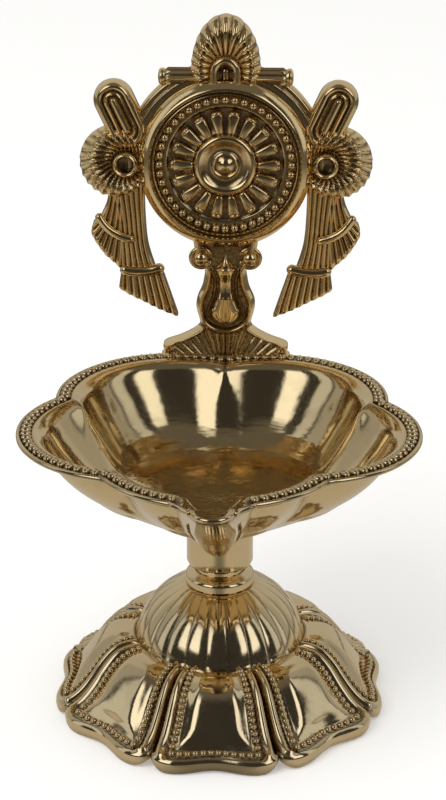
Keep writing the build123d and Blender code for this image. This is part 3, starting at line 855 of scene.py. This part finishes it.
# Radius, depth and brown, from the middle of the back round the edge to the middle of the face
wheel_profile = (
    (2.0, 0.0, 0.3), (18.9, 0.0, 0.3), (19.0, 0.0, 0.3), (19.6, 0.3, 0.2), (19.9, 1.0, 0.2), (20.0, 4.2, 0.1),
    (19.95, 4.8, 0.0), (19.7, 5.3, 0.0), (18.2, 6.85, 0.0), (17.85, 7.1, 0.0), (17.55, 7.1, 0.0),
    (17.3, 6.75, 0.1), (17.15, 6.3, 0.9), (16.95, 6.1, 0.9), (16.8, 6.35, 0.2), (16.55, 6.4, 0.1),
    (16.35, 6.1, 0.7), (16.2, 5.4, 1.0), (15.4, 5.0, 1.0), (14.4, 4.95, 0.8), (13.9, 5.0, 0.4),
    (13.6, 4.95, 0.3), (13.4, 4.75, 0.9), (13.2, 4.55, 1.0), (12.9, 4.5, 0.9), (10.0, 4.6, 1.0),
    (7.7, 4.8, 1.0), (7.4, 5.2, 0.8), (7.2, 5.9, 0.2), (6.8, 6.4, 0.0), (6.3, 6.6, 0.0), (5.8, 6.5, 0.0),
    (5.35, 6.1, 0.2), (4.9, 5.7, 0.5), (4.2, 5.45, 0.4), (3.5, 5.4, 0.5), (3.25, 5.5, 0.8), (3.05, 5.85, 0.2),
    (2.75, 6.0, 0.0), (2.45, 5.85, 0.3), (2.25, 5.5, 0.9), (1.85, 5.6, 0.4), (1.4, 6.0, 0.1),
    (0.8, 6.35, 0.0), (0.25, 6.45, 0.0),
)
wheel = loft("wheel_disc", [disc_ring(*step) for step in wheel_profile], 50)

bead_count = 44
bead_circle = 15.25
places = []
for number in range(bead_count):
    turn = 2 * pi * number / bead_count
    point = plate_point(bead_circle * sin(turn), wheel_middle + bead_circle * cos(turn), 5.45)
    places.append(stand(point, (0, -1, 0), (cos(turn), 0, -sin(turn)), (0.98, 1.02, 1.0)))
strew(wheel, bead_pattern(), places)

# One spoke: a rounded pod, wider outside, with a knob at its end
spoke_count = 18
spoke_inner = 7.3
spoke_outer = 12.1
spoke_half_length = 2.3
spoke_half_widths = (1.05, 1.85)
spoke_half_height = 1.2
spoke_top_share = 0.7
bpy.ops.object.select_all(action="DESELECT")
bpy.ops.mesh.primitive_cube_add(size=2 * MM)
spoke = bpy.context.object
bpy.ops.object.mode_set(mode="EDIT")
work = bmesh.from_edit_mesh(spoke.data)
for vert in work.verts:
    wide = spoke_half_widths[vert.co.x > 0]
    narrow = spoke_top_share if vert.co.z > 0 else 1.0
    vert.co = (vert.co.x * spoke_half_length, vert.co.y * wide * narrow, vert.co.z * spoke_half_height)
bmesh.update_edit_mesh(spoke.data)
bpy.ops.mesh.bevel(offset=0.5 * MM, segments=3)
bpy.ops.object.mode_set(mode="OBJECT")
bpy.ops.object.shade_smooth_by_angle(angle=radians(60))
brown = spoke.data.attributes.new("tarnish", "FLOAT", "POINT")
for vert, value in zip(spoke.data.vertices, brown.data):
    value.value = 0.0 if vert.co.z > -0.1 * MM else 0.9
places = []
balls = []
for number in range(spoke_count):
    turn = 2 * pi * (number + 0.5) / spoke_count
    middle = 0.5 * (spoke_inner + spoke_outer)
    outwards = (sin(turn), 0, cos(turn))
    point = plate_point(middle * sin(turn), wheel_middle + middle * cos(turn), 5.0)
    places.append(stand(point, (0, -1, 0), outwards, (1, 1, 1)))
    end = spoke_outer + 0.1
    point = plate_point(end * sin(turn), wheel_middle + end * cos(turn), 5.4)
    balls.append(stand(point, (0, -1, 0), outwards, (0.6, 1.35, 1.0)))
strew(wheel, spoke, places)
strew(wheel, bead_pattern(), balls)

# Backing behind the upper half of the wheel, with a step along its edge
backing_radius = 23.2


def relief(name, across, up, surface, back):
    """A flat grid raised to a cast surface, its border drawn to a flat back at that depth and closed."""
    bpy.ops.object.select_all(action="DESELECT")
    bpy.ops.mesh.primitive_grid_add(x_subdivisions=across, y_subdivisions=up, size=2)
    piece = bpy.context.object
    piece.name = name
    bpy.ops.object.mode_set(mode="EDIT")
    work = bmesh.from_edit_mesh(piece.data)
    tarnish = work.verts.layers.float.new("tarnish")
    for vert in work.verts:
        x, height, depth, brown = surface((vert.co.x + 1) / 2, (vert.co.y + 1) / 2)
        vert.co = Vector(plate_point(x, height, depth)) * MM
        vert[tarnish] = brown
    bmesh.update_edit_mesh(piece.data)
    bpy.ops.mesh.select_all(action="DESELECT")
    bpy.ops.mesh.select_non_manifold()
    bpy.ops.mesh.extrude_edges_move()
    work = bmesh.from_edit_mesh(piece.data)
    tarnish = work.verts.layers.float["tarnish"]
    for vert in work.verts:
        if vert.select:
            vert.co.y = (plate_back - back) * MM
            vert[tarnish] = back_brown
    bmesh.update_edit_mesh(piece.data)
    bpy.ops.mesh.edge_face_add()
    close_piece(50)
    return piece


def backing_surface(u, v):
    turn = radians(-96 + 192 * u)
    radius = 18.5 + v * (backing_radius - 18.5)
    step = 4.1 - 0.9 * step_up(21.4, 21.9, radius) - 1.6 * step_up(22.6, backing_radius, radius) ** 2
    return radius * sin(turn), wheel_middle + radius * cos(turn), step, 0.8 * hump(21.2, 0.7, radius) + 0.15


backing = relief("wheel_backing", 90, 14, backing_surface, 0.12)
wheel = join_pieces([wheel, backing], "plate_wheel")
antiqued_brass = cast_brass("antiqued_cast_brass", "#F0D29C", "#765F48", wobble_mm=0.05, tarnish_share=0.15)
wheel.data.materials.clear()
wheel.data.materials.append(antiqued_brass)
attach(wheel, "lamp")
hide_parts("wheel_plate")

# Crest and bars of the plate
# Above the wheel stands a fan of cast ribs round a small arch, between two ribbed bars with
# rounded ends. They are part of the same casting.
crest_middle = 68.6
crest_half = 8.0
crest_top = 81.2
crest_ribs = 17
arch_radius = 3.0


def crest_surface(u, v):
    """Ribs that fan out from the arch to a rounded edge."""
    turn = radians(-122 + 244 * u)
    far = 1 / hypot(sin(turn) / crest_half, cos(turn) / (crest_top - crest_middle)) - 0.1
    near = arch_radius
    bent = u + 0.030 * (1 - v) * sin(2 * turn)
    rib = abs(sin(pi * crest_ribs * bent))
    far += 0.16 * (rib - 0.6)
    reach = near + v * (far - near)
    round_off = sqrt(max(0.0, 1 - (max(0.0, v - 0.62) / 0.40) ** 2))
    depth = 2.2 + (2.3 + 0.9 * hump(0.55, 0.6, v)) * round_off + 0.85 * (rib - 0.7) * step_up(0.0, 0.25, v)
    brown = 0.95 * max(0.0, 1 - rib / 0.55) + 0.4 * step_up(0.25, 0.0, v)
    return reach * sin(turn), crest_middle + reach * cos(turn), max(0.8, depth), min(1.0, brown)


crest = relief("crest_fan", 238, 22, crest_surface, 0.24)


def tube(name, path, radius, depth, flat=1.0, brown=0.1, columns=14):
    """A cast roll along a path of (x, height) points, with rounded ends."""
    points = [Vector(spot) for spot in path]
    ways = []
    for number in range(len(points)):
        before = points[max(0, number - 1)]
        after = points[min(len(points) - 1, number + 1)]
        ways.append((after - before).normalized())
    rings = []

    def ring(point, way, size):
        side = Vector((-way.y, way.x))
        spots = []
        for number in range(columns):
            turn = 2 * pi * number / columns
            place = point + side * size * cos(turn)
            dark = brown + (0.9 - brown) * step_up(0.1, -0.6, sin(turn))
            spots.append((*plate_point(place.x, place.y, depth + flat * size * sin(turn)), dark))
        return spots

    caps = (0.25, 0.65, 0.92)
    for share in caps:
        rings.append(ring(points[0] - ways[0] * radius * sqrt(1 - share**2), ways[0], radius * share))
    rings += [ring(point, way, radius) for point, way in zip(points, ways)]
    for share in reversed(caps):
        rings.append(ring(points[-1] + ways[-1] * radius * sqrt(1 - share**2), ways[-1], radius * share))
    return loft(name, rings, 60)


arch_path = [(-2.6, 65.4), (-2.65, 67.2)]
arch_path += [(2.65 * sin(radians(a)), 68.6 + 2.9 * cos(radians(a))) for a in range(-90, 91, 15)]
arch_path += [(2.65, 67.2), (2.6, 65.4)]
arch = tube("crest_arch", arch_path, 0.85, 5.3)
arch_bud = tube("crest_bud", [(0.0, 66.2), (0.0, 67.4), (0.0, 68.6)], 1.0, 3.8, 0.8)


def arch_floor_surface(u, v):
    x = -2.5 + 5.0 * u
    return x, 65.4 + v * (3.2 + sqrt(max(0.0, 2.5**2 - x**2))), 3.4, 1.0


arch_floor = relief("crest_arch_floor", 12, 10, arch_floor_surface, 0.36)

bar_height = 67.15
bar_knob = 13.6


def bar(side):
    """A bar with ribs along it, from behind the crest to the knob at its rounded end."""
    rings = []
    stops = [(5.0 + 0.9 * n, 1.0) for n in range(10)]
    stops += [(13.4, 0.93), (13.75, 0.88), (14.1, 0.98), (14.6, 1.02), (15.0, 0.93), (15.25, 0.75)]
    stops.append((15.38, 0.4))
    for x, size in stops:
        spots = []
        for number in range(36):
            turn = 2 * pi * number / 36
            rib = 0.13 * cos(turn * 8) if sin(turn) > -0.3 and x < bar_knob else 0.0
            reach = size * (1.0 + rib)
            height = bar_height + 1.95 * reach * cos(turn)
            depth = 2.5 + (1.9 if sin(turn) > 0 else 2.4) * reach * sin(turn)
            dark = 0.8 * max(0.0, -cos(turn * 8)) * (1 if x < bar_knob else 0) + 0.8 * (13.4 < x < 13.9)
            spots.append((*plate_point(side * x, height, depth), min(1.0, dark)))
        rings.append(spots)
    return loft("crest_bar", rings, 50)


crest = join_pieces([crest, arch, arch_bud, arch_floor, bar(-1), bar(1)], "plate_crest")
crest.data.materials.clear()
crest.data.materials.append(antiqued_brass)
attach(crest, "lamp")
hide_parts("wheel_plate")

# Side ornaments of the plate
# On each side of the wheel a looped bow end, a ribbed shell round an eyelet, and a folded ribbon
# with two fringed tassels, all cast in one with the wheel.
loop_root = Vector((22.6, 55.0))
loop_tip = Vector((25.7, 61.7))
shell_middle = (25.4, 47.0)
shell_radius = 8.5
shell_ribs = 24
shell_columns = [2 * pi * n / 216 for n in range(216)]
eyelet_middle = (23.1, 47.0)
eyelet_radius = 3.0


def along_path(path, share):
    """A point at a share of a path's length, with a smooth run through its points."""
    points = [Vector(spot) for spot in path]
    lengths = [0.0]
    for before, after in zip(points, points[1:]):
        lengths.append(lengths[-1] + (after - before).length)
    goal = share * lengths[-1]
    number = 0
    while number < len(points) - 2 and lengths[number + 1] < goal:
        number += 1
    step = (goal - lengths[number]) / (lengths[number + 1] - lengths[number])
    before = points[max(0, number - 1)]
    first, second = points[number], points[number + 1]
    after = points[min(len(points) - 1, number + 2)]
    return 0.5 * (
        2 * first
        + (second - before) * step
        + (2 * before - 5 * first + 4 * second - after) * step**2
        + (3 * first - before - 3 * second + after) * step**3
    )


def loop_piece(side):
    """Nested ridges round a slit, from the middle ridge out to the rounded edge."""
    way = (loop_tip - loop_root).normalized()
    across = Vector((way.y, -way.x))
    # Distance from the slit, depth, brown
    profile = (
        (4.5, 0.36, 0.3), (4.6, 0.8, 0.2), (4.6, 2.4, 0.1), (4.45, 3.4, 0.0), (4.1, 4.2, 0.0),
        (3.6, 4.75, 0.0), (3.1, 4.8, 0.0), (2.75, 4.5, 0.3), (2.5, 3.9, 1.0), (2.3, 4.1, 0.8),
        (2.05, 4.6, 0.1), (1.75, 4.7, 0.0), (1.45, 4.4, 0.2), (1.2, 3.7, 1.0), (0.95, 3.8, 0.9),
        (0.7, 4.3, 0.2), (0.35, 4.6, 0.0), (0.06, 4.65, 0.0),
    )
    rings = []
    for away, depth, brown in profile:
        spots = []
        for number in range(72):
            share = number / 72
            if share < 0.5:
                turn = pi * (share / 0.5) - pi / 2
                spot = loop_tip + way * away * cos(turn) + across * away * sin(turn)
            else:
                turn = pi * ((share - 0.5) / 0.5) + pi / 2
                spot = loop_root + way * away * cos(turn) + across * away * sin(turn)
            spots.append((*plate_point(side * spot.x, spot.y, depth), brown))
        rings.append(spots)
    return loft("bow_loop", rings, 50)


def shell_piece(side):
    """Ribs that swirl from the eyelet's ring out to a rounded edge, and a funnel in the ring."""
    rings = []

    def ring(share, depth, brown, ribbed):
        spots = []
        for turn in shell_columns:
            rib = sin(0.5 * shell_ribs * (turn + 0.55 * (1 - share))) ** 2
            wave = ribbed * 0.22 * (rib - 0.6) * step_up(0.7, 1.0, share)
            reach = eyelet_radius + share * (shell_radius - eyelet_radius) + wave
            x = eyelet_middle[0] + share * (shell_middle[0] - eyelet_middle[0]) + reach * sin(turn)
            height = shell_middle[1] + reach * cos(turn)
            lift = ribbed * 0.8 * (rib - 0.6)
            dark = min(1.0, brown + ribbed * 0.9 * max(0.0, 1 - rib / 0.35))
            spots.append((*plate_point(side * x, height, max(0.0, depth + lift)), dark))
        return spots

    rings.append(ring(1.0, 0.24, back_brown, 0.0))
    rings.append(ring(1.0, 1.4, 0.1, 0.5))
    for share, depth in (
        (0.985, 2.2), (0.95, 3.0), (0.9, 3.6), (0.83, 4.2), (0.75, 4.7), (0.66, 5.0), (0.56, 5.15),
        (0.46, 5.1), (0.36, 4.9), (0.26, 4.6), (0.17, 4.3), (0.09, 4.05),
    ):
        rings.append(ring(share, depth, 0.35 * step_up(0.35, 0.1, share), 1.0))
    rings.append(ring(0.03, 3.9, 1.0, 0.3))
    for radius, depth, brown in (
        (eyelet_radius, 4.4, 0.5), (2.95, 5.2, 0.1), (2.7, 5.8, 0.0), (2.35, 6.0, 0.0), (2.0, 5.8, 0.1),
        (1.75, 5.2, 0.5), (1.6, 4.2, 1.0), (1.5, 3.2, 1.0), (0.4, 3.0, 1.0),
    ):
        spots = disc_ring(radius, depth, brown, *eyelet_middle, shell_columns)
        rings.append([(side * x, y, z, dark) for x, y, z, dark in spots])
    return loft("shell_and_eyelet", rings, 50)


def folds(name, side, left_edge, right_edge, count, depth, across, up, back):
    """Cloth folds cast between two edges; each fold is a rounded ridge."""

    def surface(u, v):
        start = along_path(left_edge, v)
        end = along_path(right_edge, v)
        spot = start + (end - start) * u
        ridge = abs(sin(pi * count * u))
        edge = min(1.0, 6 * min(u, 1 - u))
        raised = depth - 0.7 * (1 - edge) ** 2 + 0.6 * (ridge - 0.6)
        return side * spot.x, spot.y, raised, min(1.0, 0.95 * max(0.0, 1 - ridge / 0.55))

    return relief(name, across, up, surface, back)


def fringe(name, side, top_path, top_start, edge_path, count, flare, end_share, across, up, back):
    """Fringe cast from a cuff down to its cut edge, which stands out by the flare."""

    def surface(u, v):
        top = along_path(top_path, top_start + (1 - top_start) * u)
        edge = along_path(edge_path, u)
        spot = top + (edge - top) * (1 - v)
        ridge = abs(sin(pi * count * u))
        depth = 3.5 + flare * (1 - v) + 0.65 * (ridge - 0.6) - 0.6 * step_up(end_share, 0.0, v)
        brown = 0.95 * max(0.0, 1 - ridge / 0.5) + 0.5 * step_up(0.85, 1.0, v)
        return side * spot.x, spot.y, depth, min(1.0, brown)

    return relief(name, across, up, surface, back)


def side_ornament(side):
    """The ribbon, its fan, and two fringes, each below a rolled cuff."""
    ribbon_left = ((18.9, 41.5), (18.8, 34.0), (18.2, 27.0), (16.4, 20.8))
    ribbon_right = ((26.6, 41.5), (25.4, 34.0), (24.9, 27.0), (24.9, 20.6))
    ribbon = folds(
        "ribbon", side, ribbon_left, ribbon_right, count=6, depth=3.7, across=72, up=24, back=0.30
    )
    fan_left = ((23.6, 41.5), (23.9, 35.0), (24.2, 29.6))
    fan_right = ((26.9, 41.5), (27.8, 37.2), (29.2, 34.0))
    fan = folds("ribbon_fan", side, fan_left, fan_right, count=4, depth=3.6, across=48, up=18, back=0.36)
    cuff_path = (
        (22.2, 28.9), (23.6, 29.2), (25.0, 29.8), (26.4, 30.6), (27.6, 31.6), (28.6, 32.8), (29.4, 34.2),
    )
    side_edge = ((24.6, 21.4), (26.5, 23.2), (28.4, 25.0), (30.2, 27.6), (31.4, 30.2), (31.0, 32.4))
    side_fringe = fringe(
        "side_fringe", side, cuff_path, 0.2, side_edge,
        count=7, flare=0.5, end_share=0.15, across=70, up=16, back=0.48,
    )
    cuff = tube("side_cuff", [(side * x, z) for x, z in cuff_path], 1.0, 4.2)
    low_top = ((15.0, 20.9), (20.0, 20.4), (24.6, 21.0))
    low_edge = ((11.3, 9.6), (15.3, 11.2), (19.6, 13.4), (23.2, 15.2), (25.2, 16.6))
    low_fringe = fringe(
        "low_fringe", side, low_top, 0.0, low_edge,
        count=8, flare=0.4, end_share=0.12, across=80, up=20, back=0.36,
    )
    low_cuff_path = ((15.6, 21.7), (17.0, 21.3), (18.5, 21.0), (20.5, 20.9), (22.5, 21.0), (23.6, 21.3))
    low_cuff = tube("low_cuff", [(side * x, z) for x, z in low_cuff_path], 1.3, 3.9)
    return [ribbon, fan, side_fringe, cuff, low_fringe, low_cuff]


for side, name in ((-1, "plate_left_ornament"), (1, "plate_right_ornament")):
    ornament = join_pieces([shell_piece(side), loop_piece(side)] + side_ornament(side), name)
    ornament.data.materials.clear()
    ornament.data.materials.append(antiqued_brass)
    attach(ornament, "lamp")
    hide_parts("wheel_plate")

# Neck and foot of the plate
# A baluster with a long drop on its face and a ball on each shoulder, on a flared foot with
# fine ribs. The foot stands on the ledge of the bowl, where two screws hold it from below.
# Height and half width of the neck, and of the drop on its face
neck_edge = (
    (0.0, 14.6), (2.6, 14.55), (4.2, 10.6), (5.8, 7.6), (7.2, 6.1), (9.0, 6.2), (11.0, 6.75), (12.6, 6.95),
    (14.2, 6.6), (16.5, 5.6), (18.85, 5.1), (21.0, 4.9), (22.6, 5.5), (24.0, 6.4), (26.0, 7.2), (28.2, 7.6),
)
drop_half = (
    (7.9, 0.0), (8.3, 1.1), (9.0, 2.4), (10.2, 3.3), (11.2, 3.5), (12.6, 3.0), (14.5, 2.25), (16.5, 1.8),
    (18.8, 1.75), (20.5, 2.15), (21.8, 2.25), (22.6, 1.5), (23.5, 0.8), (25.2, 0.0),
)
neck_height = 28.2
neck_depth = 3.7
frame_middle = 11.2
frame_drop = 5.9
frame_half = 6.75


def half_at(edge, height):
    """Half width at a height, on a smooth run through the given ones, and 0 above and below them."""
    for number in range(len(edge) - 1):
        low, first = edge[number]
        high, second = edge[number + 1]
        if low <= height <= high:
            share = (height - low) / (high - low)
            before = edge[max(0, number - 1)]
            after = edge[min(len(edge) - 1, number + 2)]
            rise = (second - before[1]) / (high - before[0]) * (high - low)
            fall = (after[1] - first) / (after[0] - low) * (high - low)
            square = share * share
            cube = square * share
            run = (2 * cube - 3 * square + 1) * first + (cube - 2 * square + share) * rise
            return max(0.0, run + (3 * square - 2 * cube) * second + (cube - square) * fall)
    return 0.0


def neck_surface(u, v):
    """Inside the frame a sunk field with the drop, and below the frame the ribbed foot."""
    height = neck_height * v
    half = max(0.5, half_at(neck_edge, height))
    x = (2 * u - 1) * half
    edge = half - abs(x)
    round_edge = 1.1 * (1 - min(1.0, edge / 1.0)) ** 2
    inwards = edge
    if height < frame_middle:
        inwards = frame_half * (1 - hypot(x / frame_half, (height - frame_middle) / frame_drop))
    if inwards > 0:
        ridge = 0.85 * hump(1.0, 1.1, inwards)
        sunk = -0.5 * step_up(1.4, 2.0, inwards)
        wide = half_at(drop_half, height)
        away = abs(x) / wide if wide > 0.05 else 9.0
        drop = 2.4 * min(1.0, wide / 2.2) * sqrt(1 - away**2) if away < 1 else 0.0
        rim = 0.45 * hump(wide + 0.7, 0.55, abs(x)) * step_up(22.5, 20.5, height) * step_up(8.5, 10.0, height)
        depth = neck_depth + ridge + sunk + max(drop, rim) - round_edge
        brown = 0.9 * step_up(1.5, 2.0, inwards) * (0.0 if drop > 0.6 else 1.0)
    else:
        ridge = 0.9 * hump(1.2, 1.3, edge)
        fan = atan2(x, height + 7.0)
        rib = abs(sin(fan * 24))
        inside = step_up(2.0, 2.8, edge)
        ridge *= step_up(0.5, 2.6, height)
        depth = neck_depth + ridge + inside * (0.45 * (rib - 0.9) - 0.2) - round_edge
        brown = max(inside * min(1.0, 0.5 + 0.8 * max(0.0, 1 - rib / 0.5)), step_up(-0.8, 0.0, inwards))
    return x, height, depth, min(1.0, brown)


neck = relief("plate_neck", 132, 150, neck_surface, 0.12)
ball_size = 1.85
ball_spot = (5.75, 24.4)
socket_radius = 2.3
sockets = []
ball_places = []
for side in (-1, 1):
    x, height = ball_spot
    turns = [radians(a) for a in range(-150, 151, 15)]
    socket_path = [(side * (x + socket_radius * cos(t)), height + socket_radius * sin(t)) for t in turns]
    sockets.append(tube("ball_socket", socket_path, 0.6, 3.7))
    ball_places.append(stand(plate_point(side * x, height, 3.9), (0, -1, 0), (1, 0, 0), [ball_size] * 3))
neck = join_pieces([neck] + sockets, "plate_neck")
bpy.ops.object.select_all(action="DESELECT")
bpy.ops.mesh.primitive_uv_sphere_add(segments=28, ring_count=18, radius=MM)
ball = bpy.context.object
bpy.ops.object.shade_smooth()
ball.data.attributes.new("tarnish", "FLOAT", "POINT")
strew(neck, ball, ball_places)
neck.data.materials.clear()
neck.data.materials.append(antiqued_brass)
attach(neck, "lamp")
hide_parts("wheel_plate")

# Stud, washer and nut
# Zinc-plated steel fasteners in the hollow of the foot: an M6 stud up into the bowl, and a washer and
# a hexagon nut that pull the lamp together. The CAD shapes are right, so they only get their finish.
def satin_metal(name, grain_mm, fine, dark, pale, smooth, rough, thread_mm=0.0):
    """Metal with a fine satin grain between two tints; a thread is a spiral bump of that pitch."""
    material, tree, surface = new_material(name)
    place = add_node(tree, "TexCoord", pick="Object")
    speckle = {"Vector": place, "Scale": 1000 / grain_mm, "Detail": fine, "Roughness": 0.6}
    grain = add_node(tree, "TexNoise", speckle)
    tint = add_node(tree, "Mix", {0: grain, 6: linear(dark), 7: linear(pale)}, 2, data_type="RGBA")
    satin = add_node(tree, "MapRange", {0: grain, 1: 0.3, 2: 0.7, 3: smooth, 4: rough})
    bump = add_node(tree, "Bump", {"Height": grain, "Distance": 0.01 * MM, "Strength": 1.0})
    if thread_mm:
        parts = add_node(tree, "SeparateXYZ", {0: place}, None)
        turn = add_node(tree, "Math", {0: parts["Y"], 1: parts["X"]}, operation="ARCTAN2")
        climb = 2 * pi * 1000 / thread_mm
        phase = add_node(tree, "Math", {0: parts["Z"], 1: climb, 2: turn}, operation="MULTIPLY_ADD")
        ridge = add_node(tree, "Math", {0: phase}, operation="SINE")
        threaded = {"Height": ridge, "Distance": 0.25 * MM, "Strength": 1.0, "Normal": bump}
        bump = add_node(tree, "Bump", threaded)
    metal = {"Base Color": tint, "Metallic": 1.0, "Roughness": satin, "Normal": bump}
    tree.links.new(add_node(tree, "BsdfPrincipled", metal), surface)
    return material


# Zinc plate gives a pale, slightly bluish satin
zinc = {"grain_mm": 0.6, "fine": 4.0, "dark": "#9EA3A6", "pale": "#CDD0CF", "smooth": 0.26, "rough": 0.42}
plain_zinc = satin_metal("zinc_plated_steel", **zinc)
for node, finish in (
    ("stem_stud", satin_metal("zinc_plated_thread", thread_mm=1.0, **zinc)),
    ("stud_washer", plain_zinc),
    ("stud_nut", plain_zinc),
):
    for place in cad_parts[node].material_slots:
        place.material = finish

# Plate screws
# Two small machined brass screws, from below up through the ledge into the foot of the plate.
# The tool leaves a fine satin on bright brass.
machined_brass = satin_metal(
    "machined_brass", grain_mm=0.25, fine=3.0, dark="#B8955A", pale="#E2C691", smooth=0.18, rough=0.34
)
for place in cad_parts["plate_screws"].material_slots:
    place.material = machined_brass
